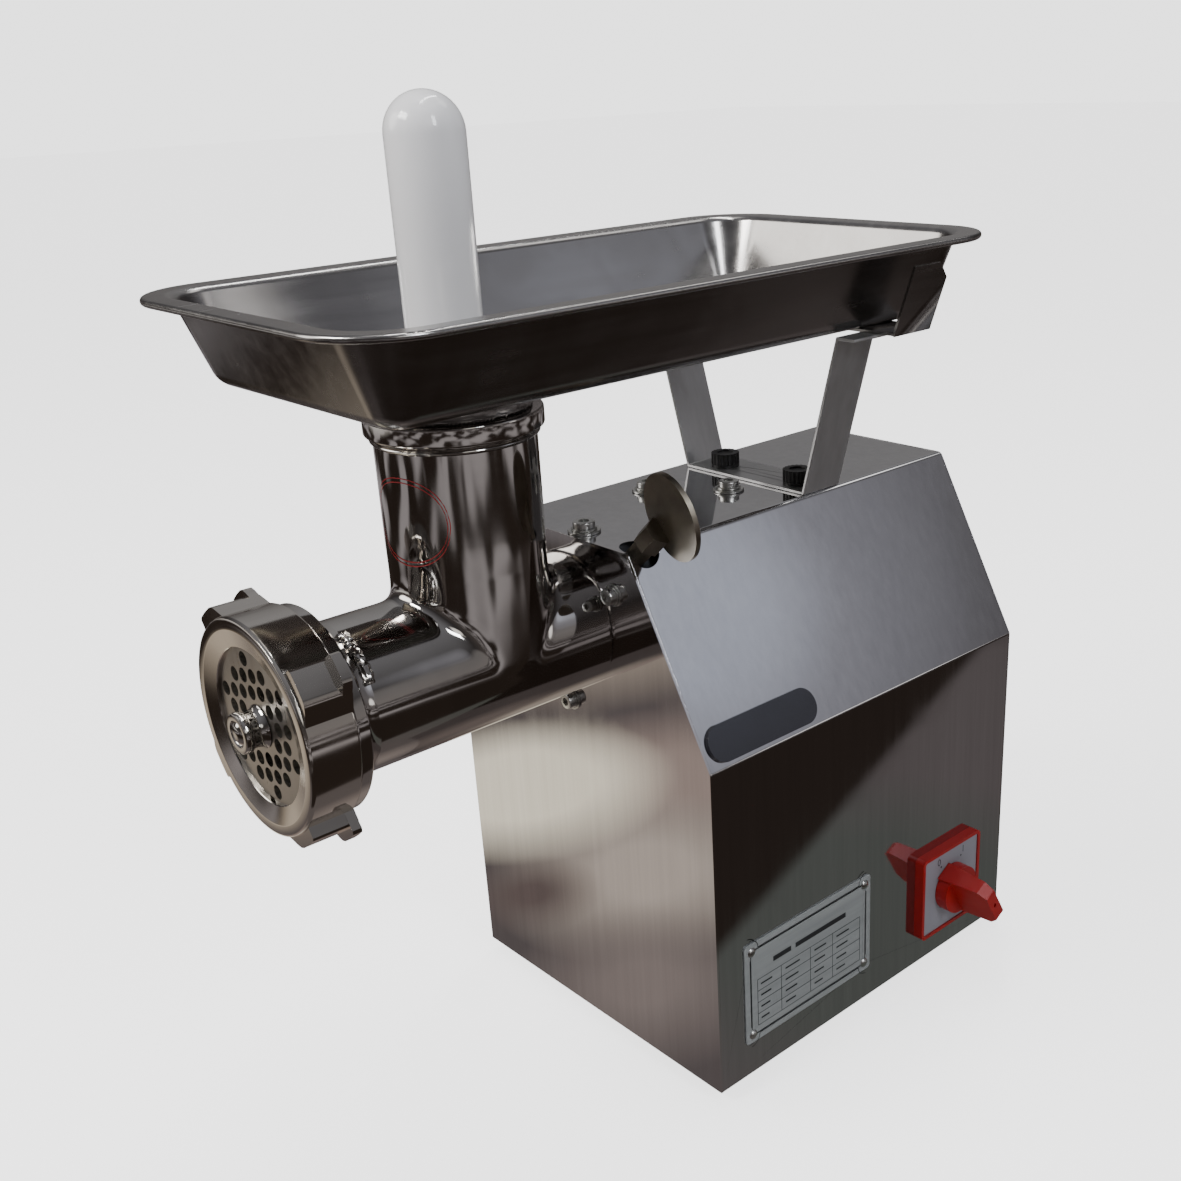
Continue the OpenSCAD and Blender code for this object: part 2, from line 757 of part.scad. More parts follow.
module switch_face() {
    inner_w = switch_w - 2 * switch_rim - 0.1;
    color("lightgray") on_side(switch_y, switch_z) difference() {
        translate([0, 0, face_z - face_t]) rounded_block(inner_w, inner_w, face_t, 1.9);
        translate([0, 0, -1]) cylinder(r = 6, h = 20);
    }
}

module switch_body() {
    depth = 45;
    body_side = 40;
    neck_z = face_z - face_t - 0.2;
    color("dimgray") on_side(switch_y, switch_z) difference() {
        union() {
            translate([-body_side / 2, -body_side / 2, -depth])
                cube([body_side, body_side, depth - sheet_t - 0.1]);
            translate([0, 0, -depth + 1]) cylinder(r = 18, h = depth - 1 + neck_z);
        }
        translate([0, 0, -12]) cylinder(r = 4 + run_gap, h = 40);
    }
}

module switch_knob() {
    base_h = 9;
    top_h = 37;
    grip_l = 36;
    grip_w = [14, 9];
    floor_z = face_z + 0.4;
    color("crimson") on_side(switch_y, switch_z) rotate([0, 0, knob_throw / 2]) difference() {
        union() {
            translate([0, 0, floor_z]) cylinder(r = knob_d / 2, h = base_h);
            translate([0, 0, -8]) cylinder(r = 4, h = floor_z + 9);
            translate([0, grip_l / 2, floor_z]) rotate([90, 0, 0]) linear_extrude(grip_l)
                polygon([[-grip_w[0] / 2, 0], [grip_w[0] / 2, 0], [grip_w[1] / 2, top_h],
                    [-grip_w[1] / 2, top_h]]);
        }
        for (s = [-1, 1]) translate([0, s * grip_l / 2, floor_z + top_h])
            rotate([45, 0, 0]) cube([20, 8, 8], center = true);
        translate([0, 0, floor_z + top_h - 3]) cylinder(r = 1.5, h = 10);
    }
}

module data_plate() {
    color("lightgray") on_side(plate_cy, plate_cz) difference() {
        rounded_block(plate_w, plate_h, 1, 3);
        for (p = rivet_at)
            translate([p[0] - plate_cy, p[1] - plate_cz, -1]) cylinder(r = 1.6, h = 5);
    }
}

module plate_rivets() {
    color("silver") for (p = rivet_at) on_side(p[0], p[1]) {
        translate([0, 0, -3]) cylinder(r = 1.5, h = 4.2);
        translate([0, 0, 1]) intersection() {
            cylinder(r = 3.2, h = 2);
            translate([0, 0, -2.2]) sphere(r = 4);
        }
    }
}

module badge() {
    color("dimgray") translate([side_x, badge_cy, knee_z])
        rotate([0, -(90 - slope_angle), 0]) rotate([90, 0, 90])
        translate([0, badge_rise + badge_h / 2, 0]) rounded_block(badge_w, badge_h, 2, badge_h / 2 - 0.2);
}

// The fillet between neck and barrel, pointed at the sides where the two surfaces meet flush
module neck_blend() {
    reach = neck_r + blend_r;
    lens_r = (reach * reach + neck_r * neck_r) / (2 * neck_r);
    translate([0, neck_y, axis_z]) intersection() {
        rotate_extrude() difference() {
            square([reach, barrel_r + blend_r]);
            translate([reach, barrel_r + blend_r]) circle(r = blend_r);
        }
        translate([neck_r - lens_r, 0, 0]) cylinder(r = lens_r, h = 2 * barrel_r);
        translate([lens_r - neck_r, 0, 0]) cylinder(r = lens_r, h = 2 * barrel_r);
    }
}

module head_casting() {
    bead = 1.6;
    color("silver") difference() {
        union() {
            turned_y(axis_z) polygon(concat(
                [[0, mouth_y], [thread_r, mouth_y], [thread_r, ring_back_y + lift_gap],
                    [flange_r, ring_back_y + lift_gap], [flange_r, flange_back_y]],
                [for (i = [0 : 10]) let(a = i * 9) [barrel_r + flare_h * (1 - sin(a)),
                    flange_back_y + flare_l * (1 - cos(a))]],
                [[barrel_r, front_y], [spigot_r, front_y], [spigot_r, head_end_y],
                    [0, head_end_y]]));
            translate([0, neck_y, axis_z]) cylinder(r = neck_r, h = neck_h);
            translate([0, neck_y, neck_top_z - collar_h]) cylinder(r = collar_r, h = collar_h);
            translate([0, neck_y, neck_top_z - collar_h - 2 * bead]) rotate_extrude()
                translate([neck_r, 0]) circle(r = bead);
            neck_blend();
        }
        rod_y(plate_r + run_gap, mouth_y - 1, plate_back_y, 0, axis_z);
        rod_y(knife_r + 1, mouth_y - 1, knife_room_y, 0, axis_z);
        rod_y(bore_r, mouth_y - 1, bore_end_y, 0, axis_z);
        rod_y(bush_r, bore_end_y - 1, head_end_y + 1, 0, axis_z);
        translate([0, neck_y, axis_z]) cylinder(r = throat_r, h = neck_h + 1);
        translate([0, neck_y, neck_top_z - spout_drop - 2])
            cylinder(r = spout_r + lift_gap, h = spout_drop + 3);
        translate([0, plate_y + plate_t / 2, axis_z - plate_r - 2]) cylinder(r = 2.55, h = 10);
    }
}

module head_bush() {
    color("tan") difference() {
        rod_y(bush_r - 0.02, bore_end_y, head_end_y, 0, axis_z);
        rod_y(journal_r + run_gap, bore_end_y - 1, head_end_y + 1, 0, axis_z);
    }
}

module plate_pin() {
    color("gray") translate([0, plate_y + plate_t / 2, axis_z - plate_r - 1.9])
        cylinder(r = 2.5, h = 5);
}

// Hole centres on a hexagonal grid between the stud and the rim
function plate_holes() = let(
    inner = 12 + plate_hole_d / 2, outer = ring_open_r - 1.5 - plate_hole_d / 2)
    [for (i = [-6 : 6], j = [-6 : 6])
        let(p = plate_pitch * [i + j / 2, j * sqrt(3) / 2])
        if (norm(p) > inner && norm(p) < outer) p];

module hole_plate() {
    turn = 12;
    color("lightslategray") difference() {
        rod_y(plate_r, plate_y, plate_back_y, 0, axis_z);
        rod_y(stud_r + run_gap, plate_y - 1, plate_back_y + 1, 0, axis_z);
        for (p = plate_holes())
            rod_y(plate_hole_d / 2, plate_y - 1, plate_back_y + 1,
                p[0] * cos(turn) - p[1] * sin(turn), axis_z + p[0] * sin(turn) + p[1] * cos(turn));
        translate([-2.8, plate_y - 1, axis_z - plate_r - 1]) cube([5.6, plate_t + 2, 5.5]);
    }
}

module ring_nut() {
    lip_t = 1.2;
    bevel_r = 50.5;
    color("silver") {
        turned_y(axis_z) polygon([[bevel_r, ring_front_y], [ring_r - 1, ring_front_y],
            [ring_r, ring_front_y + 1], [ring_r, ring_back_y - 1], [ring_r - 1, ring_back_y],
            [thread_r + lift_gap, ring_back_y], [thread_r + lift_gap, plate_y - 0.2],
            [ring_open_r, plate_y - 0.2], [ring_open_r, plate_y - 0.2 - lip_t]]);
        for (a = [32 : 90 : 302]) ring_lug(a);
    }
}

// A lug on the ring: a wedge that climbs round the rim, with a taller block at the back
module ring_lug(a) {
    low = ring_r - 2;
    steps = 5;
    block_l = 6;
    upright(ring_front_y + 2, ring_back_y) translate([0, axis_z]) polygon(concat(
        [for (i = [0 : steps]) let(t = a + lug_span * (i / steps - 0.5), r = ring_r + lug_h
            * (0.15 + 0.55 * i / steps)) r * [cos(t), sin(t)]],
        [for (i = [steps : -1 : 0]) let(t = a + lug_span * (i / steps - 0.5))
            low * [cos(t), sin(t)]]));
    upright(ring_back_y - block_l, ring_back_y) translate([0, axis_z]) polygon(concat(
        [for (i = [0 : steps]) let(t = a + lug_span * (0.7 * i / steps - 0.2))
            (ring_r + lug_h) * [cos(t), sin(t)]],
        [for (i = [steps : -1 : 0]) let(t = a + lug_span * (0.7 * i / steps - 0.2))
            low * [cos(t), sin(t)]]));
}

// The auger's spiral blade, swept round the core
module flight(y0, y1, r_in, r_out) {
    turns = (y1 - y0) / flight_pitch;
    n = ceil(turns * 30);
    foot_w = 9;
    tip_w = 4;
    pts = [for (i = [0 : n]) let(a = i / n * turns * 360, y = y0 + (y1 - y0) * i / n,
        fade = min(1, min(i, n - i) / 8 + 0.3))
        each [for (e = [[r_in, -foot_w], [r_in, foot_w], [r_out, tip_w], [r_out, -tip_w]])
            [e[0] * cos(a), y + e[1] * fade / 2, e[0] * sin(a)]]];
    sides = [for (i = [0 : n - 1], k = [0 : 3]) let(
        a = 4 * i + k, b = 4 * i + (k + 1) % 4)
        each [[a, b, b + 4], [a, b + 4, a + 4]]];
    ends = [[3, 2, 1], [3, 1, 0], [4 * n, 4 * n + 1, 4 * n + 2], [4 * n, 4 * n + 2, 4 * n + 3]];
    translate([0, 0, axis_z]) polyhedron(points = pts, faces = concat(sides, ends));
}

module auger() {
    color("silver") union() {
        rod_y(core_r, knife_y + knife_t, bore_end_y - 0.5, 0, axis_z);
        flight(knife_y + knife_t + 6, bore_end_y - 7, core_r - 2, bore_r - lift_gap);
        rod_y(journal_r, bore_end_y - 1, head_end_y - 0.5, 0, axis_z);
        drive_square(drive_w, head_end_y - 1, hub_end_y + 20);
        drive_square(knife_sq, knife_y - 0.1, knife_y + knife_t + 1);
        rod_y(stud_r, stud_end_y + 2, knife_y, 0, axis_z);
        turned_y(axis_z) polygon([[0, stud_end_y + 1], [7.5, stud_end_y + 1],
            [8.5, stud_end_y], [10, stud_end_y], [11, stud_end_y + 1],
            [11, stud_end_y + 2.5], [0, stud_end_y + 2.5]]);
        translate([0, stud_end_y + 6, axis_z]) sphere(r = 6.5);
    }
}

module knife() {
    hub = 15;
    color("lightsteelblue") difference() {
        union() {
            rod_y(hub, knife_y, knife_y + knife_t, 0, axis_z);
            for (i = [0 : blades - 1]) translate([0, 0, axis_z]) rotate([0, i * 360 / blades, 0])
                translate([8, knife_y, -6]) rotate([-90, 0, 0]) linear_extrude(knife_t)
                    polygon([[0, -9], [knife_r - 9, -6], [knife_r - 9, 2], [0, 4]]);
        }
        drive_square(knife_sq + 0.1, knife_y - 1, knife_y + knife_t + 1);
    }
}

// A cap screw that points along +Z, its head's underside at z = 0
module cap_screw(r, len, head_h) {
    translate([0, 0, -len]) cylinder(r = r, h = len + 1);
    difference() {
        cylinder(r = 1.65 * r, h = head_h);
        translate([0, 0, head_h / 2]) cylinder(r = 0.95 * r, h = head_h, $fn = 6);
    }
}

module ring_washer(r, hole, t) {
    difference() {
        cylinder(r = r, h = t);
        translate([0, 0, -1]) cylinder(r = hole, h = t + 2);
    }
}

// Children at each screw on the front panel, with +Z out of the panel
module at_front_bolts() {
    for (a = front_bolt_angles)
        translate([front_bolt_circle * cos(a), front_y, axis_z + front_bolt_circle * sin(a)])
            rotate([90, 0, 0]) children();
}

module front_bolts() {
    color("silver") at_front_bolts() translate([0, 0, washer_t])
        cap_screw(bolt_r, washer_t + sheet_t + 14, 6);
}

module front_washers() {
    color("lightgray") at_front_bolts() ring_washer(6, bolt_r + screw_gap, washer_t);
}

module top_bolts() {
    color("silver") for (p = top_bolts_at) translate([p[0], p[1], top_z + washer_t])
        cap_screw(top_bolt_r, washer_t + sheet_t + 6, 7);
}

module top_washers() {
    color("lightgray") for (p = top_bolts_at) translate([p[0], p[1], top_z])
        ring_washer(8, top_bolt_r + screw_gap, washer_t);
}

module clamp_screw() {
    color("darkkhaki") difference() {
        union() {
            clamp_rod(clamp_r, clamp_tip, clamp_hex[1] - 1);
            clamp_rod(clamp_hex_r, clamp_hex[0], clamp_hex[1], 6);
        }
        at_clamp_disc() translate([0, 0, -20])
            cylinder(r = clamp_disc_r + 0.05, h = 20 + clamp_disc_t / 2 + 0.02);
    }
}

// Children at the middle of the clamp screw's disc, with +Z square to the disc
module at_clamp_disc() {
    translate([0, clamp_y, axis_z]) rotate([0, 90 - clamp_angle, 0])
        translate([0, 0, clamp_reach]) rotate([90 + clamp_disc_tilt, 0, 0]) children();
}

module clamp_disc() {
    color("darkkhaki") at_clamp_disc()
        cylinder(r = clamp_disc_r, h = clamp_disc_t, center = true);
}

module stand_strip() {
    leg_h = cradle_z - top_z;
    color("silver") difference() {
        union() {
            translate([stand_x - stand_foot / 2, stand_y0, top_z])
                cube([stand_foot, stand_w, stand_t]);
            for (s = [-1, 1]) translate([stand_x, 0, 0]) mirror([s < 0 ? 1 : 0, 0, 0]) {
                upright(stand_y0, stand_y1) polygon([[stand_foot / 2 - stand_t, top_z],
                    [stand_foot / 2, top_z], [stand_foot / 2 + leg_lean, cradle_z],
                    [stand_foot / 2 + leg_lean - stand_t, cradle_z]]);
                translate([stand_foot / 2 + leg_lean - stand_t, stand_y0, cradle_z - stand_t])
                    cube([leg_tab, stand_w, stand_t]);
            }
        }
        for (p = stand_knob_at)
            translate([p[0], p[1], top_z - 1]) cylinder(r = knob_stud_r + screw_gap, h = 10);
    }
}

module tray_cradle() {
    chamfer = 10;
    color("silver") {
        translate([-cradle_half, cradle_y0, cradle_z]) cube([2 * cradle_half, cradle_w, cradle_t]);
        for (s = [-1, 1]) mirror([s < 0 ? 1 : 0, 0, 0])
            translate([cradle_half - cradle_t, cradle_y0, cradle_z + 0.01])
                rotate([0, tray_lean, 0]) rotate([90, 0, 90]) linear_extrude(cradle_t)
                    polygon([[0, 0], [cradle_w, 0], [cradle_w, cradle_h - chamfer],
                        [cradle_w - chamfer, cradle_h], [0, cradle_h]]);
    }
}

module stand_nuts() {
    color("gray") for (p = stand_knob_at) translate([p[0], p[1], under_top_z - 8]) difference() {
        cylinder(r = 6, h = 8, $fn = 6);
        translate([0, 0, -1]) cylinder(r = knob_stud_r + run_gap, h = 20);
    }
}

module stand_knob(i) {
    flutes = 20;
    color("black") translate([stand_knob_at[i][0], stand_knob_at[i][1], top_z + stand_t]) {
        difference() {
            cylinder(r = stand_knob_r, h = stand_knob_h);
            for (k = [0 : flutes - 1]) rotate([0, 0, k * 360 / flutes])
                translate([stand_knob_r + 0.5, 0, 2]) cylinder(r = 1.2, h = stand_knob_h, $fn = 16);
            translate([0, 0, stand_knob_h - 1]) cylinder(r = stand_knob_r - 4, h = 2);
        }
        translate([0, 0, -stand_t - sheet_t - 7]) cylinder(r = knob_stud_r, h = 14);
    }
}

// A thin slab with rounded corners, for the tray's levels
module tray_level(z, half_w, back, front, r) {
    translate([0, 0, z]) linear_extrude(0.01) for (y = [front + r, back - r], s = [-1, 1])
        translate([s * (half_w - r), y]) circle(r = r, $fn = 32);
}

// The tray's body: a rounded floor, leaning walls, and straight sides at the rim
module tray_form(inset, top) {
    run = tray_deep * tan(tray_lean);
    curve = 90 - tray_lean;
    hull() {
        for (k = [0 : 4]) let(a = k / 4 * curve, z = tray_z + inset + tray_fillet * (1 - cos(a)),
            out = rim_w + inset + run - (z - tray_z) * tan(tray_lean)
                + tray_fillet * (1 - sin(a + tray_lean)) / 2)
            tray_level(z, tray_w / 2 - out, tray_y1 - out, tray_y0 + out,
                max(tray_corner_r - out * 0.6, 6));
        tray_level(top, tray_w / 2 - rim_w - inset, tray_y1 - rim_w - inset,
            tray_y0 + rim_w + inset, tray_corner_r - rim_w - inset);
    }
}

module feed_tray() {
    color("lightsteelblue") difference() {
        union() {
            tray_form(0, rim_z - 0.02);
            translate([0, 0, rim_z - tray_t]) linear_extrude(tray_t)
                rim_outline(bead_r);
        }
        tray_form(tray_t, rim_z + 1);
        translate([0, neck_y, tray_z - 5]) cylinder(r = neck_r + 0.3, h = 20);
    }
}

// The rim's outline, set in by a distance
module rim_outline(inset) {
    r = tray_corner_r - inset;
    x = tray_w / 2 - inset;
    for (s = [[x, tray_l / 2 - inset - r], [x - r, tray_l / 2 - inset]])
        translate([-s[0], tray_cy - s[1]]) square([2 * s[0], 2 * s[1]]);
    for (a = [-1, 1], b = [-1, 1])
        translate([a * (x - r), tray_cy + b * (tray_l / 2 - inset - r)]) circle(r = r);
}

module tray_rim_bead() {
    r = tray_corner_r - bead_r;
    x = tray_w / 2 - tray_corner_r;
    y = tray_l / 2 - tray_corner_r;
    color("lightsteelblue") difference() {
        translate([0, tray_cy, rim_z - bead_r]) {
            for (c = [[x, y, 0], [-x, y, 90], [-x, -y, 180], [x, -y, 270]])
                translate([c[0], c[1], 0]) rotate([0, 0, c[2]]) rotate_extrude(angle = 90)
                    translate([r, 0]) circle(r = bead_r, $fn = 24);
            for (s = [-1, 1]) {
                translate([s * (tray_w / 2 - bead_r), -y, 0]) rotate([-90, 0, 0])
                    cylinder(r = bead_r, h = 2 * y, $fn = 24);
                translate([-x, s * (tray_l / 2 - bead_r), 0]) rotate([0, 90, 0])
                    cylinder(r = bead_r, h = 2 * x, $fn = 24);
            }
        }
        translate([0, 0, rim_z - tray_t - 0.02]) linear_extrude(5) rim_outline(bead_r - 0.02);
    }
}

module tray_spout() {
    low = neck_top_z - spout_drop;
    seat = neck_top_z + 0.2;
    color("lightsteelblue") translate([0, neck_y, 0]) rotate_extrude() polygon([
        [neck_r + 0.25, tray_z + tray_t], [neck_r + 0.25, tray_z],
        [neck_r - 1.5, tray_z - 4], [neck_r - 2.5, seat + 3], [neck_r - 1.5, seat + 2],
        [neck_r - 1.5, seat], [spout_r, seat], [spout_r, low], [spout_r - tray_t, low],
        [spout_r - tray_t, seat + 3], [neck_r - 3, tray_z - 4], [neck_r - 1.2, tray_z + tray_t]]);
}

module stomper() {
    color("white") translate([0, neck_y, 0]) {
        translate([0, 0, stomper_z]) cylinder(r = stomper_r, h = stomper_l - stomper_r);
        translate([0, 0, stomper_z + stomper_l - stomper_r]) sphere(r = stomper_r);
    }
}

cover_wrap();
front_panel();
rear_panel();
base_plate();
panel_screws();
foot(0);  // foot_1
foot(1);  // foot_2
foot(2);  // foot_3
foot(3);  // foot_4
foot_screws();
gearbox_case();
gearbox_cover();
oil_seal();
bearings();
output_shaft();
output_gear();
layshaft();
lay_gear();
motor_shaft();
rotor_core();
motor_fan();
stator();
motor_can();
motor_bracket();
capacitor();
terminal_block();
cable_gland();
gland_nut();
switch_frame();
switch_face();
switch_body();
switch_knob();
data_plate();
plate_rivets();
badge();
head_casting();
head_bush();
plate_pin();
hole_plate();
ring_nut();
auger();
knife();
front_bolts();
front_washers();
top_bolts();
top_washers();
clamp_screw();
clamp_disc();
stand_strip();
tray_cradle();
stand_nuts();
stand_knob(0);  // stand_knob_1
stand_knob(1);  // stand_knob_2
feed_tray();
tray_rim_bead();
tray_spout();
stomper();
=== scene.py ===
import bmesh
import bpy
import json
from math import cos, hypot, pi, radians, sin, tan, tau
from mathutils import Matrix, Vector


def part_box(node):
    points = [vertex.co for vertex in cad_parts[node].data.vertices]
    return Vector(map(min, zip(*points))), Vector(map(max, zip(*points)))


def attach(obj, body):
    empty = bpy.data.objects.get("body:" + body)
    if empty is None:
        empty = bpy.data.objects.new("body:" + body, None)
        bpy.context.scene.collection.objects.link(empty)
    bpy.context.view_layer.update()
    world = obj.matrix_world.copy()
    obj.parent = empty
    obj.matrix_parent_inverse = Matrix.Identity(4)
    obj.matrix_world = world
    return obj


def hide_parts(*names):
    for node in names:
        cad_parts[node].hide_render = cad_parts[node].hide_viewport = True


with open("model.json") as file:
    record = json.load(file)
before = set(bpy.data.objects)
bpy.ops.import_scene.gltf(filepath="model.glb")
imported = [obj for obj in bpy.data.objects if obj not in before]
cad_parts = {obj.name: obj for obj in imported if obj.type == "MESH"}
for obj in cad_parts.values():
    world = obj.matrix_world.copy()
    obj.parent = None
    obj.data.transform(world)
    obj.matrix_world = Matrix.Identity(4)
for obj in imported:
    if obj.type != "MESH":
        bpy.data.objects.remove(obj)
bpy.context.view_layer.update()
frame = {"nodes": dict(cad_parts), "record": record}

nodes = frame["nodes"]
upright = Matrix.Identity(4)
smoothAngle, creaseAngle = 32, 28
mergeNear = 0.000005
alongBarrel = Matrix.Rotation(radians(90), 4, "X")  # local Z turned to point at the ring, -Y


# ---- places that the frame gives ----
def low(node):
    return Vector(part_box(node)[0])


def high(node):
    return Vector(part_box(node)[1])


def middle(node):
    return (low(node) + high(node)) / 2


barrelZ = middle("hole_plate").z
neckY = middle("stomper").y
frontY = low("front_panel").y
topZ = high("cover_wrap").z


# ---- small helpers in the way of hand work ----
def enterEdit():
    bpy.ops.object.mode_set(mode="EDIT")


def leaveEdit():
    bpy.ops.object.mode_set(mode="OBJECT")


def selectAll():
    bpy.ops.mesh.select_all(action="SELECT")


def bakePlace():
    bpy.ops.object.transform_apply(location=True, rotation=True, scale=True)


def deselect():
    if bpy.context.object and bpy.context.object.mode != "OBJECT":
        leaveEdit()
    bpy.ops.object.select_all(action="DESELECT")


def activate(piece):
    deselect()
    piece.select_set(True)
    bpy.context.view_layer.objects.active = piece


def pick(piece, faces=None, edges=None):
    # selects only the faces or edges that pass a test
    bpy.ops.mesh.select_all(action="DESELECT")
    bpy.ops.mesh.select_mode(type="FACE" if faces else "EDGE")
    mesh = bmesh.from_edit_mesh(piece.data)
    test = faces or edges
    for item in mesh.faces if faces else mesh.edges:
        if test(item):
            item.select_set(True)
    bmesh.update_edit_mesh(piece.data)


def applyAll(piece):
    activate(piece)
    for modifier in list(piece.modifiers):
        bpy.ops.object.modifier_apply(modifier=modifier.name)


def addModifier(piece, name, kind, **values):
    modifier = piece.modifiers.new(name, kind)
    for key, value in values.items():
        setattr(modifier, key, value)
    return modifier


def soften(piece, width, segments, angle):
    addModifier(piece, "soft edges", "BEVEL",
            width=width, segments=segments, limit_method="ANGLE", angle_limit=radians(angle),
            harden_normals=False, use_clamp_overlap=True)
    applyAll(piece)


def settle(piece, body, material, stands=()):
    # puts the place into the mesh, shades it and hands it to its body
    activate(piece)
    bakePlace()
    bpy.ops.object.shade_smooth_by_angle(angle=radians(smoothAngle))
    even = addModifier(piece, "even shading", "WEIGHTED_NORMAL", keep_sharp=True)
    bpy.ops.object.modifier_apply(modifier=even.name)
    piece.data.materials.clear()
    piece.data.materials.append(material)
    if stands:
        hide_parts(*stands)
    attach(piece, body)
    return piece


def named(name):
    piece = bpy.context.object
    piece.name = name
    piece.data.name = name
    return piece


def startPoint(name, place):
    # a plane merged to one vertex, from which a line is drawn by extruding
    deselect()
    bpy.ops.mesh.primitive_plane_add(size=0.001, location=(0, 0, 0))
    piece = named(name)
    enterEdit()
    bpy.ops.mesh.select_mode(type="VERT")
    selectAll()
    bpy.ops.mesh.merge(type="CENTER")
    bpy.ops.transform.translate(value=place)
    return piece


def drawLine(points):
    for a, b in zip(points, points[1:]):
        step = Vector(b) - Vector(a)
        bpy.ops.mesh.extrude_vertices_move(TRANSFORM_OT_translate={"value": step})


def turned(name, profile, closed=False, steps=96):
    # a line of (radius, height) points spun round the local Z axis
    points = [(r, 0, z) for r, z in profile]
    if closed:
        points.append(points[0])
    piece = startPoint(name, points[0])
    drawLine(points)
    selectAll()
    bpy.ops.mesh.spin(steps=steps, angle=tau, center=(0, 0, 0), axis=(0, 0, 1))
    selectAll()
    bpy.ops.mesh.remove_doubles(threshold=0.00001)
    bpy.ops.mesh.normals_make_consistent(inside=False)
    leaveEdit()
    return piece


def placed(piece, place, turn=upright):
    piece.matrix_world = Matrix.Translation(Vector(place)) @ turn
    activate(piece)
    bakePlace()
    return piece


def joined(name, pieces):
    deselect()
    for piece in pieces:
        piece.select_set(True)
    bpy.context.view_layer.objects.active = pieces[0]
    if len(pieces) > 1:
        bpy.ops.object.join()
    return named(name)


def repeated(name, piece, places, turn=upright):
    # copies of one piece at several places, as one mesh
    copies = []
    for place in places:
        activate(piece)
        bpy.ops.object.duplicate()
        copies.append(placed(bpy.context.object, place, turn))
    bpy.data.objects.remove(piece, do_unlink=True)
    return joined(name, copies)


def copyOf(node, name):
    activate(nodes[node])
    bpy.ops.object.duplicate()
    piece = named(name)
    piece.parent = None
    piece.matrix_world = upright
    return piece


def cutBy(piece, cutter, how="DIFFERENCE"):
    addModifier(piece, "cut", "BOOLEAN", operation=how, solver="EXACT", object=cutter)
    applyAll(piece)
    bpy.data.objects.remove(cutter, do_unlink=True)


def refined(node, name, edge, body, material, slot, segments=3):
    # a merged copy of a machined CAD piece with its hard edges broken
    piece = copyOf(node, name)
    enterEdit()
    selectAll()
    bpy.ops.mesh.remove_doubles(threshold=mergeNear)
    leaveEdit()
    if edge:
        soften(piece, edge, segments, creaseAngle)
    return settle(piece, body, material, [node])


# ---- shared shader groups ----
def newGroup(name, inputs, outputs):
    group = bpy.data.node_groups.new(name, "ShaderNodeTree")
    for label, kind, value in inputs:
        socket = group.interface.new_socket(label, in_out="INPUT", socket_type=kind)
        if value is not None:
            socket.default_value = value
    for label, kind in outputs:
        group.interface.new_socket(label, in_out="OUTPUT", socket_type=kind)
    return group, group.nodes.new("NodeGroupInput"), group.nodes.new("NodeGroupOutput")


def addNode(tree, kind, **values):
    node = tree.nodes.new("ShaderNode" + kind)
    for key, value in values.items():
        setattr(node, key, value)
    return node


def setInputs(node, **values):
    for label, value in values.items():
        node.inputs[label.replace("_", " ")].default_value = value
    return node


def mathNode(tree, operation, a, b=None):
    node = addNode(tree, "Math", operation=operation)
    for i, value in enumerate((a, b)):
        if value is None:
            continue
        if isinstance(value, (int, float)):
            node.inputs[i].default_value = value
        else:
            tree.links.new(value, node.inputs[i])
    return node.outputs[0]


def makeBrushGroup():
    # long fine lines from a belt or a pad, stretched by the vector that comes in
    group, source, sink = newGroup(
        "brushed lines",
        [("Vector", "NodeSocketVector", None), ("Fineness", "NodeSocketFloat", 400.0)],
        [("Lines", "NodeSocketFloat"), ("Patches", "NodeSocketFloat")],
    )
    fine = setInputs(addNode(group, "TexNoise"), Detail=3, Roughness=0.6)
    broad = setInputs(addNode(group, "TexNoise"), Scale=9, Detail=2)
    group.links.new(source.outputs["Vector"], fine.inputs["Vector"])
    group.links.new(source.outputs["Fineness"], fine.inputs["Scale"])
    group.links.new(source.outputs["Vector"], broad.inputs["Vector"])
    group.links.new(fine.outputs["Fac"], sink.inputs["Lines"])
    group.links.new(broad.outputs["Fac"], sink.inputs["Patches"])
    return group


def makeSmudgeGroup():
    # fingerprints and wiped film: large soft clouds broken by small specks
    group, source, sink = newGroup(
        "wiped film",
        [("Vector", "NodeSocketVector", None), ("Scale", "NodeSocketFloat", 18.0)],
        [("Film", "NodeSocketFloat"), ("Specks", "NodeSocketFloat"), ("Waves", "NodeSocketFloat")],
    )
    cloud = setInputs(addNode(group, "TexNoise"), Detail=5, Distortion=0.8)
    specks = setInputs(addNode(group, "TexNoise"), Scale=900, Detail=1)
    waves = setInputs(addNode(group, "TexNoise"), Scale=7, Detail=0)
    ramp = setInputs(addNode(group, "MapRange"), From_Min=0.42, From_Max=0.72)
    for texture in (cloud, specks, waves):
        group.links.new(source.outputs["Vector"], texture.inputs["Vector"])
    group.links.new(source.outputs["Scale"], cloud.inputs["Scale"])
    group.links.new(cloud.outputs["Fac"], ramp.inputs["Value"])
    group.links.new(ramp.outputs["Result"], sink.inputs["Film"])
    group.links.new(specks.outputs["Fac"], sink.inputs["Specks"])
    group.links.new(waves.outputs["Fac"], sink.inputs["Waves"])
    return group


brushGroup = makeBrushGroup()
smudgeGroup = makeSmudgeGroup()


def newMaterial(name):
    material = bpy.data.materials.new(name)
    material.use_nodes = True
    tree = material.node_tree
    shader = tree.nodes["Principled BSDF"]
    return material, tree, shader


def stretched(tree, scale, turn=(0, 0, 0)):
    place = addNode(tree, "TexCoord")
    mapping = setInputs(addNode(tree, "Mapping"), Scale=scale, Rotation=turn)
    tree.links.new(place.outputs["Object"], mapping.inputs["Vector"])
    return mapping.outputs["Vector"]


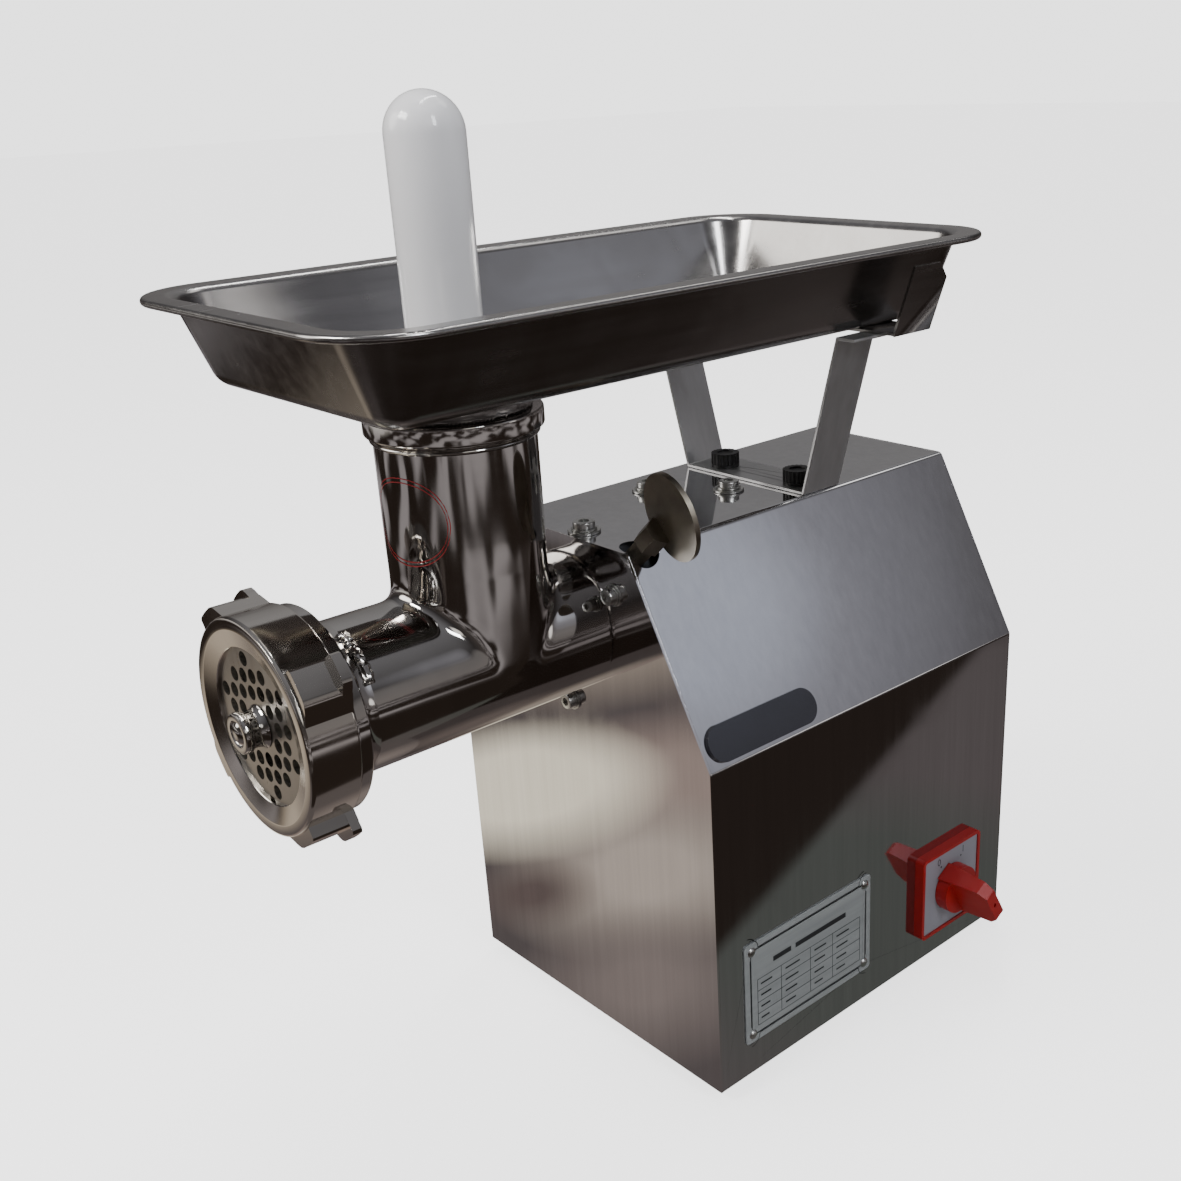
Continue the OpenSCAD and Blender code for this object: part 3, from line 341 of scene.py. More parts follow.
def blendColour(tree, factor, dark, light):
    mix = setInputs(addNode(tree, "Mix", data_type="RGBA"), A=(*dark, 1), B=(*light, 1))
    tree.links.new(factor, mix.inputs["Factor"])
    return mix.outputs["Result"]


def layered(tree, factor, under, over):
    # one colour laid on another through a mask; each is a link or a plain colour
    mix = addNode(tree, "Mix", data_type="RGBA")
    for socket, colour in (("A", under), ("B", over)):
        if isinstance(colour, tuple):
            mix.inputs[socket].default_value = (*colour, 1)
        else:
            tree.links.new(colour, mix.inputs[socket])
    tree.links.new(factor, mix.inputs["Factor"])
    return mix.outputs["Result"]


def ranged(tree, value, lowest, highest, fromMin=0.3, fromMax=0.7):
    node = setInputs(
        addNode(tree, "MapRange"),
        From_Min=fromMin, From_Max=fromMax, To_Min=lowest, To_Max=highest)
    tree.links.new(value, node.inputs["Value"])
    return node.outputs["Result"]


def measured(tree, operation, vector, other=(0, 0, 0)):
    node = addNode(tree, "VectorMath", operation=operation)
    node.inputs[1].default_value = other
    tree.links.new(vector, node.inputs[0])
    return node.outputs["Value"]


def whenRay(tree, kind, others, special):
    # one shader for a kind of ray and another for the rest
    rays = addNode(tree, "LightPath")
    mix = addNode(tree, "MixShader")
    for i, source in enumerate((rays.outputs[kind], others.outputs[0], special.outputs[0])):
        tree.links.new(source, mix.inputs[i])
    return mix


def bumped(tree, shader, *layers):
    # each layer is (height, depth in metres); they are stacked one on the next
    previous = None
    for height, depth in layers:
        bump = setInputs(addNode(tree, "Bump"), Strength=1, Distance=depth)
        tree.links.new(height, bump.inputs["Height"])
        if previous:
            tree.links.new(previous, bump.inputs["Normal"])
        previous = bump.outputs["Normal"]
    tree.links.new(previous, shader.inputs["Normal"])


def metal(name, dark, light, roughness, stretch, fineness=400.0, lineDepth=0.00001,
        waveDepth=0.0, film=0.08, turn=(0, 0, 0), metallic=1.0):
    # polished or brushed metal: lines along one way, wiped film and slow waves in the sheet
    material, tree, shader = newMaterial(name)
    shader.inputs["Metallic"].default_value = metallic
    brush = setInputs(addNode(tree, "Group", node_tree=brushGroup), Fineness=fineness)
    tree.links.new(stretched(tree, stretch, turn), brush.inputs["Vector"])
    smudge = addNode(tree, "Group", node_tree=smudgeGroup)
    tree.links.new(stretched(tree, (1, 1, 1)), smudge.inputs["Vector"])
    tone = mathNode(tree, "ADD", mathNode(tree, "MULTIPLY", brush.outputs["Lines"], 0.5),
            mathNode(tree, "MULTIPLY", brush.outputs["Patches"], 0.5))
    colour = blendColour(tree, ranged(tree, tone, 0, 1, 0.35, 0.65), dark, light)
    tree.links.new(colour, shader.inputs["Base Color"])
    lines = ranged(tree, brush.outputs["Lines"], roughness[0], roughness[1])
    rough = mathNode(tree, "ADD", lines, mathNode(tree, "MULTIPLY", smudge.outputs["Film"], film))
    tree.links.new(rough, shader.inputs["Roughness"])
    layers = [(brush.outputs["Lines"], lineDepth)]
    if waveDepth:
        layers.append((smudge.outputs["Waves"], waveDepth))
    bumped(tree, shader, *layers)
    return material


def moulded(name, dark, light, roughness, grain=0.000006, grainScale=900.0, coat=0.0):
    # moulded plastic or rubber: fine grain, slight cloudiness and wiped film
    material, tree, shader = newMaterial(name)
    smudge = setInputs(addNode(tree, "Group", node_tree=smudgeGroup), Scale=30)
    tree.links.new(stretched(tree, (1, 1, 1)), smudge.inputs["Vector"])
    grainNoise = setInputs(addNode(tree, "TexNoise"), Scale=grainScale, Detail=2)
    tree.links.new(stretched(tree, (1, 1, 1)), grainNoise.inputs["Vector"])
    colour = blendColour(tree, smudge.outputs["Waves"], dark, light)
    tree.links.new(colour, shader.inputs["Base Color"])
    rough = ranged(tree, smudge.outputs["Film"], roughness[0], roughness[1], 0, 1)
    tree.links.new(rough, shader.inputs["Roughness"])
    shader.inputs["Coat Weight"].default_value = coat
    shader.inputs["Coat Roughness"].default_value = 0.04
    bumped(tree, shader, (grainNoise.outputs["Fac"], grain))
    return material


print("materials")
steel = {
    "sheetFront": metal("polished front sheet", (0.56, 0.54, 0.54), (0.64, 0.62, 0.62),
        (0.045, 0.06), (1, 1, 0.03), 180, 0.0000001, 0.0002, 0.06),
    "sheetSide": metal("polished folded sheet", (0.54, 0.54, 0.55), (0.62, 0.62, 0.63),
        (0.04, 0.07), (1, 1, 0.04), 180, 0.0000004, 0.00015, 0.05),
    "casting": metal("hand polished casting", (0.50, 0.48, 0.46), (0.60, 0.58, 0.55),
        (0.05, 0.08), (1, 1, 1), 26, 0.000002, 0.00018, 0.05),
    "ring": metal("turned and polished ring", (0.58, 0.55, 0.51), (0.70, 0.67, 0.62),
        (0.07, 0.11), (1, 0.2, 1), 40, 0.000001, 0.00012, 0.06),
    "tray": metal("pressed satin sheet", (0.34, 0.33, 0.32), (0.41, 0.40, 0.39),
        (0.17, 0.24), (1, 0.05, 1), 120, 0.000001, 0.0004, 0.08),
    "strip": metal("satin strip", (0.44, 0.44, 0.44), (0.54, 0.54, 0.54),
        (0.34, 0.44), (1, 1, 0.08), 160, 0.0000008, 0.0, 0.06, metallic=0.88),
    "ground": metal("ground tool steel", (0.38, 0.36, 0.33), (0.50, 0.48, 0.44),
        (0.24, 0.34), (1, 1, 0.1), 200, 0.000001, 0.0, 0.08),
    "zinc": metal("zinc plated steel", (0.52, 0.52, 0.50), (0.64, 0.64, 0.62),
        (0.24, 0.34), (1, 1, 1), 120, 0.000003, 0.0, 0.08),
    "nickel": metal("dull nickel plate", (0.30, 0.26, 0.21), (0.42, 0.38, 0.31),
        (0.26, 0.40), (1, 1, 1), 90, 0.00001, 0.0003, 0.12),
    "iron": metal("cast iron", (0.16, 0.17, 0.18), (0.26, 0.27, 0.29),
        (0.45, 0.62), (1, 1, 1), 160, 0.0001, 0.0, 0.08),
    "shaft": metal("turned shaft steel", (0.52, 0.53, 0.55), (0.66, 0.67, 0.69),
        (0.18, 0.30), (0.05, 1, 0.05), 700, 0.00001, 0.0, 0.06),
    "gear": metal("oiled gear steel", (0.30, 0.27, 0.22), (0.44, 0.41, 0.35),
        (0.20, 0.34), (1, 0.1, 1), 300, 0.00001, 0.0, 0.06),
    "bronze": metal("bronze bush", (0.46, 0.32, 0.16), (0.62, 0.46, 0.26),
        (0.24, 0.36), (0.1, 1, 0.1), 500, 0.00001, 0.0, 0.06),
    "label": metal("brushed label plate", (0.29, 0.31, 0.31), (0.38, 0.40, 0.40),
        (0.38, 0.50), (1, 0.05, 1), 300, 0.000001, 0.0, 0.06, metallic=0.35),
    "dullSheet": metal("zinc plated sheet", (0.40, 0.41, 0.42), (0.54, 0.55, 0.56),
        (0.34, 0.50), (1, 1, 1), 40, 0.00002, 0.0, 0.10),
}
plastic = {
    "white": moulded("glossy white stomper", (0.90, 0.90, 0.92), (0.94, 0.94, 0.95),
        (0.12, 0.22), 0.000004, 600, 0.3),
    "red": moulded("glossy red switch", (0.30, 0.004, 0.004), (0.39, 0.007, 0.006),
        (0.36, 0.48), 0.000006, 900, 0.05),
    "face": moulded("grey switch face", (0.22, 0.22, 0.25), (0.28, 0.28, 0.31),
        (0.34, 0.48), 0.000008, 1200),
    "black": moulded("black moulding", (0.010, 0.010, 0.010), (0.022, 0.022, 0.022),
        (0.42, 0.58), 0.00002, 1100),
    "rubber": moulded("black rubber", (0.014, 0.013, 0.012), (0.026, 0.025, 0.024),
        (0.66, 0.82), 0.00003, 1400),
    "ivory": moulded("ivory moulding", (0.62, 0.58, 0.46), (0.72, 0.68, 0.56),
        (0.40, 0.55), 0.00001, 900),
    "badge": moulded("dark badge resin", (0.012, 0.012, 0.016), (0.03, 0.03, 0.04),
        (0.12, 0.24), 0.000004, 500, 0.5),
    "winding": moulded("varnished winding", (0.30, 0.10, 0.03), (0.46, 0.18, 0.06),
        (0.25, 0.40), 0.00005, 400, 0.2),
    "laminations": moulded("varnished laminations", (0.08, 0.075, 0.07), (0.14, 0.13, 0.12),
        (0.40, 0.55), 0.00004, 700),
    "motorPaint": moulded("motor paint", (0.03, 0.045, 0.06), (0.05, 0.07, 0.09),
        (0.30, 0.45), 0.00001, 500, 0.2),
    "ink": moulded("black print", (0.010, 0.010, 0.012), (0.02, 0.02, 0.022),
        (0.30, 0.45), 0.000003, 900),
    "redInk": moulded("red print", (0.20, 0.008, 0.010), (0.30, 0.012, 0.014),
        (0.25, 0.40), 0.000003, 900),
}

# finishes of the nodes that keep their CAD mesh
kept = {
    "base_plate": steel["dullSheet"], "foot_screws": steel["zinc"],
    "gearbox_case": steel["iron"], "gearbox_cover": steel["iron"],
    "oil_seal": plastic["rubber"], "bearings": steel["zinc"],
    "output_shaft": steel["shaft"], "output_gear": steel["gear"],
    "layshaft": steel["shaft"], "lay_gear": steel["gear"],
    "motor_shaft": steel["shaft"], "rotor_core": plastic["laminations"],
    "motor_fan": plastic["black"], "stator": plastic["winding"],
    "motor_can": plastic["motorPaint"], "motor_bracket": steel["dullSheet"],
    "capacitor": plastic["ivory"], "terminal_block": plastic["ivory"],
    "gland_nut": plastic["black"], "switch_body": plastic["black"],
    "head_bush": steel["bronze"], "hole_plate": steel["ground"], "plate_pin": steel["ground"],
    "knife": steel["ground"], "stand_nuts": steel["zinc"],
}
for node, material in kept.items():
    nodes[node].data.materials.clear()
    nodes[node].data.materials.append(material)
    for face in nodes[node].data.polygons:
        face.material_index = 0

print("machined and folded pieces")
# node, name, width of the broken edge, body, material, slot, bevel segments
for row in (
    ("front_panel", "frontPanel", 0.0006, "housing", steel["sheetFront"], "sheet", 3),
    ("cover_wrap", "foldedWrap", 0.0005, "housing", steel["sheetSide"], "sheet", 2),
    ("rear_panel", "rearPanel", 0.0004, "housing", steel["sheetSide"], "sheet", 2),
    ("panel_screws", "panelScrews", 0.0003, "housing", steel["zinc"], "bolt_steel", 2),
    ("stand_strip", "standStrip", 0.0005, "housing", steel["strip"], "stand_steel", 2),
    ("tray_cradle", "trayCradle", 0.0005, "housing", steel["tray"], "stand_steel", 2),
    ("clamp_disc", "clampDisc", 0.0008, "clamp", steel["nickel"], "nickel", 3),
    ("data_plate", "dataPlate", 0.0003, "housing", steel["label"], "label", 2),
    ("plate_rivets", "plateRivets", 0.0002, "housing", steel["zinc"], "bolt_steel", 2),
    ("switch_frame", "switchFrame", 0.0012, "housing", plastic["red"], "red_plastic", 3),
    ("switch_face", "switchFace", 0.0003, "housing", plastic["face"], "face_plastic", 2),
    ("switch_knob", "switchKnob", 0.0012, "switch_knob", plastic["red"], "red_plastic", 3),
    ("stand_knob_1", "standKnob1", 0.0003, "stand_knob_1", plastic["black"], "black_plastic", 2),
    ("stand_knob_2", "standKnob2", 0.0003, "stand_knob_2", plastic["black"], "black_plastic", 2),
    ("cable_gland", "cableGland", 0.0006, "housing", plastic["black"], "black_plastic", 2),
    ("clamp_screw", "clampScrew", 0.0005, "clamp", steel["nickel"], "nickel", 2),
):
    refined(*row)
for i in range(1, 5):
    refined(f"foot_{i}", f"rubberFoot{i}", 0.0008, "housing", plastic["rubber"], "rubber", 3)
refined("tray_spout", "traySpout", 0, "tray", steel["tray"], "tray_steel")
refined("tray_rim_bead", "trayRimRoll", 0, "tray", steel["tray"], "tray_steel")

print("feed head")
headSizes = {"barrelR": 0.0423, "neckR": 0.04375, "collarR": 0.0482, "collarH": 0.010,
        "flangeR": 0.0565, "flangeL": 0.0076, "flareH": 0.0065, "flareL": 0.015,
        "threadR": 0.0485, "plateRoom": 0.04505, "boreR": 0.036, "throatR": 0.037,
        "spoutR": 0.0403, "spoutDrop": 0.026, "spigotR": 0.0381,
        "bushR": 0.020, "wall": 0.010, "gap": 0.0003, "voxel": 0.0013,
        "weldR": 0.0026, "weldRough": 0.0030, "weldFrom": 28, "weldTo": 70}
# how far the fillet and the true cylinders reach on the skin, and over what length each fades
blendSizes = {"reach": 0.028, "below": 0.004, "rise": 0.030, "over": 0.036, "overFade": 0.020,
        "neckFrom": 0.014, "neckFade": 0.018, "alongFrom": 0.012, "alongFade": 0.016}


def weighted(piece, name, weigh):
    group = piece.vertex_groups.new(name=name)
    for vertex in piece.data.vertices:
        group.add([vertex.index], max(0, min(1, weigh(vertex.co))), "REPLACE")
    return name


def makeHeadSkin():
    # barrel and neck as one skin with a hand-worked fillet between them
    size, blend = headSizes, blendSizes
    rimZ = high("head_casting").z
    flangeEnd = -high("ring_nut").y - size["gap"] - size["flangeL"]
    barrel = turned("barrelBody", [(0, flangeEnd), (size["barrelR"], flangeEnd),
            (size["barrelR"], -frontY), (0, -frontY)])
    placed(barrel, (0, 0, barrelZ), alongBarrel)
    neck = turned("neckBody", [(0, barrelZ), (size["neckR"], barrelZ),
            (size["neckR"], rimZ - 0.004), (0, rimZ - 0.004)])
    placed(neck, (0, neckY, 0))
    barrelTrue = turned("barrelTrue", [(size["barrelR"], flangeEnd + 0.01),
            (size["barrelR"], -frontY - 0.01)], steps=256)
    placed(barrelTrue, (0, 0, barrelZ), alongBarrel)
    neckTrue = turned("neckTrue", [(size["neckR"], barrelZ), (size["neckR"], rimZ)], steps=256)
    placed(neckTrue, (0, neckY, 0))
    cutBy(barrel, neck, "UNION")
    head = barrel
    head.name = "headSkin"
    addModifier(head, "one skin", "REMESH", mode="VOXEL", voxel_size=size["voxel"])
    applyAll(head)
    top = barrelZ + size["barrelR"]

    def nearBlend(p):
        reach = hypot(p.x, p.y - neckY) - size["neckR"]
        return ((1 - abs(reach) / blend["reach"])
                * min(1, (p.z - barrelZ + blend["below"]) / blend["rise"])
                * min(1, (top + blend["over"] - p.z) / blend["overFade"]))

    def onNeck(p):
        return (p.z - top - blend["neckFrom"]) / blend["neckFade"]

    def onBarrel(p):
        along = abs(p.y - neckY) - size["neckR"] - blend["alongFrom"]
        return max(along / blend["alongFade"],
                (barrelZ + blend["below"] - p.z) / blend["overFade"])

    addModifier(head, "cast fillet", "SMOOTH",
            factor=0.6, iterations=110, vertex_group=weighted(head, "blend", nearBlend))
    addModifier(head, "polish", "SMOOTH", factor=0.5, iterations=5)
    for label, target, weigh in (("neck", neckTrue, onNeck), ("barrel", barrelTrue, onBarrel)):
        addModifier(head, label, "SHRINKWRAP",
                target=target, wrap_method="NEAREST_SURFACEPOINT",
                vertex_group=weighted(head, label, weigh))
    addModifier(head, "even", "SMOOTH", factor=0.5, iterations=2)
    applyAll(head)
    for target in (neckTrue, barrelTrue):
        bpy.data.objects.remove(target, do_unlink=True)
    bores = turned("bores", [(0, flangeEnd + 0.02), (size["boreR"], flangeEnd + 0.02),
            (size["boreR"], -frontY + size["wall"]),
            (size["bushR"], -frontY + size["wall"]),
            (size["bushR"], -frontY - 0.01), (0, -frontY - 0.01)])
    cutBy(head, placed(bores, (0, 0, barrelZ), alongBarrel))
    throat = turned("throat", [(0, barrelZ), (size["throatR"], barrelZ),
            (size["throatR"], rimZ - size["spoutDrop"]),
            (size["spoutR"], rimZ - size["spoutDrop"]),
            (size["spoutR"], rimZ + 0.01), (0, rimZ + 0.01)])
    cutBy(head, placed(throat, (0, neckY, 0)))
    settle(head, "head", steel["casting"], ["head_casting"])


def editSector(piece, fromAngle, toAngle):
    # keeps only the part of a barrel ring between two angles
    activate(piece)
    enterEdit()
    for angle, side in ((fromAngle, 1), (toAngle, -1)):
        a = radians(angle)
        selectAll()
        bpy.ops.mesh.bisect(plane_co=(0, 0, barrelZ),
                plane_no=(-side * sin(a), 0, side * cos(a)),
                use_fill=True, clear_inner=True)
    leaveEdit()
    return piece


def makeHeadRings():
    # turned parts of the head: flange, neck collar, threaded mouth and spigot
    size = headSizes
    mouth = -low("head_casting").y
    end = -high("head_casting").y
    rimZ = high("head_casting").z
    back = -high("ring_nut").y - size["gap"]
    foot = back - size["flangeL"]
    r = size["flangeR"]
    inner = size["boreR"] + 0.003
    flare = [(size["barrelR"] + size["flareH"] * (1 - sin(i * pi / 24)) - 0.0001,
            foot - size["flareL"] * (1 - cos(i * pi / 24))) for i in range(13)]
    profile = [(inner, back), (r - 0.001, back), (r - 0.0003, back - 0.0003), (r, back - 0.001),
            (r, foot + 0.0012), (r - 0.0005, foot + 0.0004), (r - 0.0014, foot)] + flare
    profile.append((inner, foot - size["flareL"]))
    flange = placed(turned("headFlange", profile, True, 160), (0, 0, barrelZ), alongBarrel)
    settle(flange, "head", steel["casting"])
    c, h, n = size["collarR"], size["collarH"], size["neckR"]
    bead = [(n + 0.0018 * sin(i * pi / 8), rimZ - h - 0.0050 + 0.0036 * i / 8)
            for i in range(9)]
    profile = [(size["spoutR"], rimZ - h - 0.0052)] + bead + [
        (n + 0.0002, rimZ - h - 0.0006), (n + 0.0008, rimZ - h), (c - 0.0010, rimZ - h),
        (c - 0.0003, rimZ - h + 0.0003), (c, rimZ - h + 0.0010), (c, rimZ - 0.0014),
        (c - 0.0004, rimZ - 0.0004), (c - 0.0014, rimZ), (size["spoutR"] + 0.001, rimZ),
        (size["spoutR"], rimZ - 0.001)]
    collar = placed(turned("neckCollar", profile, True, 160), (0, neckY, 0))
    settle(collar, "head", steel["casting"])
    thread = []
    for i in range(int((mouth - back) / 0.002)):
        thread += [(size["threadR"] - 0.0009, back + 0.001 + i * 0.002),
                (size["threadR"], back + 0.002 + i * 0.002)]
    profile = ([(size["plateRoom"], back), (size["threadR"] - 0.001, back)] + thread
            + [(size["threadR"] - 0.0009, mouth), (size["plateRoom"], mouth)])
    piece = placed(turned("mouthThread", profile, True), (0, 0, barrelZ), alongBarrel)
    settle(piece, "head", steel["ring"])
    profile = [(size["bushR"], -frontY), (size["spigotR"], -frontY),
            (size["spigotR"], end + 0.001), (size["spigotR"] - 0.001, end),
            (size["bushR"], end)]
    piece = placed(turned("headSpigot", profile, True), (0, 0, barrelZ), alongBarrel)
    settle(piece, "head", steel["ring"])
    # a rough run of weld where the flange meets the barrel
    w = size["weldR"]
    line = [(size["barrelR"] + 0.0006 + w * cos(i * pi / 5),
            foot - size["flareL"] + w * 0.8 + w * sin(i * pi / 5)) for i in range(10)]
    weld = placed(turned("weldRun", line, True, 220), (0, 0, barrelZ), alongBarrel)
    weld = editSector(weld, size["weldFrom"], size["weldTo"])
    lumps = bpy.data.textures.new("weld lumps", "CLOUDS")
    lumps.noise_scale = 0.0032
    addModifier(weld, "lumps", "DISPLACE",
            texture=lumps, texture_coords="LOCAL", strength=size["weldRough"])
    applyAll(weld)
    settle(weld, "head", steel["casting"])


makeHeadSkin()
makeHeadRings()

print("ring nut")
ringSizes = {"outerR": 0.059, "flatR": 0.0527, "openR": 0.0425, "threadR": 0.0487,
        "edge": 0.0016, "lugs": (32, 122, 212, 302), "rise": 0.0068, "tabRise": 0.0118,
        "from": -15, "ramp": 12, "to": 12.5, "tabL": 0.0062, "crease": 0.0009}


def makeLug(name, top, z0, z1, start, end):
    # a wedge that climbs round the ring and ends in a steep face
    size = ringSizes
    r = size["outerR"]
    deep = r - 0.004
    corner = start + size["ramp"]
    outline = [(start, deep), (start, r - 0.0004), (corner - 3.5, r + top * 0.74),
            (corner - 1.2, r + top * 0.93), (corner + 1.2, r + top)]
    outline += [(corner + (end - corner) * i / 4, r + top) for i in (2, 3)]
    outline += [(end - 1.6, r + top), (end - 0.4, r + top * 0.86), (end + 0.6, r - 0.0004),
            (end + 0.8, deep)]
    points = [(reach * cos(radians(a)), reach * sin(radians(a)), z0)
            for a, reach in outline]
    lug = startPoint(name, points[0])
    drawLine(points + [points[0]])
    selectAll()
    bpy.ops.mesh.remove_doubles(threshold=0.00001)
    bpy.ops.mesh.edge_face_add()
    bpy.ops.mesh.extrude_region_move(TRANSFORM_OT_translate={"value": (0, 0, z1 - z0)})
    selectAll()
    bpy.ops.mesh.normals_make_consistent(inside=False)
    leaveEdit()
    return lug


def makeRing():
    size = ringSizes
    front, back = -low("ring_nut").y, -high("ring_nut").y
    shoulder = -low("hole_plate").y
    r, e = size["outerR"], size["edge"]
    profile = [(size["threadR"], back), (r - e, back), (r - e * 0.3, back + e * 0.3),
            (r, back + e), (r, front - e * 1.4), (r - e * 0.12, front - e * 0.8),
            (r - e * 0.5, front - e * 0.25), (r - e * 1.2, front), (size["flatR"], front),
            (size["flatR"] - 0.0006, front - 0.0002), (size["openR"] + 0.0004, front - 0.0026),
            (size["openR"], front - 0.0030), (size["openR"], shoulder),
            (size["threadR"], shoulder)]
    ring = turned("ringNut", profile, True, 144)
    for centre in size["lugs"]:
        for label, top, z0, z1 in (("lug", size["rise"], back + 0.0004, front - 0.0022),
                ("tab", size["tabRise"], back + 0.0008, back + size["tabL"])):
            start = centre + size["from"] + (3 if label == "tab" else 0)
            lug = makeLug(label, top, z0, z1, start, centre + size["to"])
            cutBy(ring, lug, "UNION")
    soften(ring, size["crease"], 3, 24)
    placed(ring, (0, 0, barrelZ), alongBarrel)
    settle(ring, "ring", steel["ring"], ["ring_nut"])


makeRing()

print("auger end")
studSizes = {"bodyR": 0.0096, "collarR": 0.0112, "domeR": 0.0062, "rootR": 0.0088, "back": 0.0055}


def makeAuger():
    # the spiral keeps its machined shape; its end in front of the plate is turned anew
    size = studSizes
    spiral = copyOf("auger", "augerSpiral")
    plateY = low("hole_plate").y
    enterEdit()
    bpy.ops.mesh.select_mode(type="VERT")
    selectAll()
    bpy.ops.mesh.remove_doubles(threshold=mergeNear)
    selectAll()
    bpy.ops.mesh.bisect(plane_co=(0, plateY + size["back"] - 0.001, 0), plane_no=(0, 1, 0),
            use_fill=True, clear_inner=True)
    leaveEdit()
    settle(spiral, "auger", steel["casting"], ["auger"])
    f = -plateY
    b, c, d, root = size["bodyR"], size["collarR"], size["domeR"], size["rootR"]
    profile = [(0, f - size["back"]), (root, f - size["back"]), (root, f + 0.0002),
            (b + 0.0022, f + 0.0004), (b + 0.0012, f + 0.0014), (b + 0.0003, f + 0.0034),
            (b, f + 0.0055), (b + 0.0002, f + 0.0076), (c - 0.0005, f + 0.0084),
            (c, f + 0.0093), (c, f + 0.0114), (c - 0.0005, f + 0.0126),
            (c - 0.0014, f + 0.0131), (d + 0.0012, f + 0.0130), (d + 0.0007, f + 0.0120),
            (d, f + 0.0122), (d * 0.85, f + 0.0131), (d * 0.5, f + 0.0138), (0, f + 0.0140)]
    stud = placed(turned("augerStud", profile, steps=64), (0, 0, barrelZ), alongBarrel)
    settle(stud, "auger", steel["casting"])


makeAuger()

print("screws")
screwSizes = {
    "top": {"hole": 0.0042, "washerR": 0.0098, "washerT": 0.0015, "springR": 0.0076,
        "springT": 0.0015, "headR": 0.0066, "headH": 0.0036, "socketR": 0.0036},
    "front": {"hole": 0.0032, "washerR": 0.0068, "washerT": 0.0012, "springR": 0.0056,
        "springT": 0.0012, "headR": 0.0050, "headH": 0.0040, "socketR": 0.0028},
}


def makeCapScrew(size):
    # flat washer, spring washer and socket head, standing on z = 0
    t = size["washerT"]
    e = t * 0.25
    r, hole = size["washerR"], size["hole"]
    washer = turned("flatWasher", [(hole, 0), (r - e, 0), (r, e), (r, t - e), (r - e, t),
            (hole, t)], True, 48)
    r, u = size["springR"], t + size["springT"]
    spring = turned("springWasher", [(hole, t), (r - e, t), (r, t + e), (r, u - e), (r - e, u),
            (hole, u)], True, 48)
    r, top = size["headR"], u + size["headH"]
    head = turned("socketHead", [(0, u), (r - 0.0003, u), (r, u + 0.0003), (r, top - 0.0009),
            (r - 0.0003, top - 0.0003), (r - 0.0009, top), (0, top)],
            steps=48)
    deselect()
    bpy.ops.mesh.primitive_cylinder_add(vertices=6, radius=size["socketR"],
            depth=size["headH"] * 1.1, location=(0, 0, top))
    cutBy(head, bpy.context.object)
    return joined("capScrew", [washer, spring, head])


def makeScrews(name, size, places, turn, stands):
    piece = repeated(name, makeCapScrew(size), places, turn)
    settle(piece, "housing", steel["zinc"], stands)


seatY = high("front_washers").y
hubR, hubAngles = 0.0525, (30, 150, 270)
topPlaces = [(0.008, -0.130, topZ), (0.012, -0.016, topZ), (-0.027, -0.050, topZ)]
makeScrews("topScrews", screwSizes["top"], topPlaces, upright, ["top_bolts", "top_washers"])
makeScrews("hubScrews", screwSizes["front"],
        [(hubR * cos(radians(a)), seatY, barrelZ + hubR * sin(radians(a)))
        for a in hubAngles], alongBarrel, ["front_bolts", "front_washers"])

print("feed tray")
traySizes = {"rim": 0.013, "cornerR": 0.044, "lean": 20, "floorFillet": 0.015, "sheet": 0.0012,
        "holeR": 0.0441}


def makeTray():
    size = traySizes
    a, b = low("feed_tray"), high("feed_tray")
    middleY = (a.y + b.y) / 2
    run = (b.z - a.z) * tan(radians(size["lean"]))
    deselect()
    bpy.ops.mesh.primitive_plane_add(size=1, location=(0, middleY, b.z - size["sheet"] / 2))
    tray = named("feedTray")
    enterEdit()
    selectAll()
    bpy.ops.transform.resize(value=(b.x - a.x, b.y - a.y, 1))
    leaveEdit()
    bakePlace()
    enterEdit()
    selectAll()
    bpy.ops.mesh.bevel(offset=size["cornerR"], segments=14, affect="VERTICES")
    pick(tray, faces=lambda f: len(f.verts) > 8)
    bpy.ops.mesh.inset(thickness=size["rim"])
    bpy.ops.mesh.inset(thickness=run)
    bpy.ops.transform.translate(value=(0, 0, -(b.z - a.z) + size["sheet"]))
    floor = b.z - (b.z - a.z) + size["sheet"] / 2
    pick(tray, edges=lambda e: all(abs(v.co.z - floor) < 0.0002 for v in e.verts)
         and e.is_manifold and len(e.link_faces) == 2)
    bpy.ops.mesh.bevel(offset=size["floorFillet"] * 0.55, segments=7, affect="EDGES")
    pick(tray, edges=lambda e: len(e.link_faces) == 2 and all(
        abs(v.co.z - b.z + size["sheet"] / 2) < 0.0002 for v in e.verts)
        and e.calc_face_angle(0) > 0.5)
    bpy.ops.mesh.bevel(offset=0.0035, segments=4, affect="EDGES")
    selectAll()
    bpy.ops.mesh.normals_make_consistent(inside=False)
    leaveEdit()
    addModifier(tray, "sheet", "SOLIDIFY", thickness=size["sheet"], offset=0)
    applyAll(tray)
    hole = turned("spoutHole", [(0, a.z - 0.01), (size["holeR"], a.z - 0.01),
            (size["holeR"], a.z + 0.02), (0, a.z + 0.02)])
    cutBy(tray, placed(hole, (0, neckY, 0)))
    settle(tray, "tray", steel["tray"], ["feed_tray"])


makeTray()

print("stomper")
stomperSizes = {"draft": 0.0006, "steps": 12}


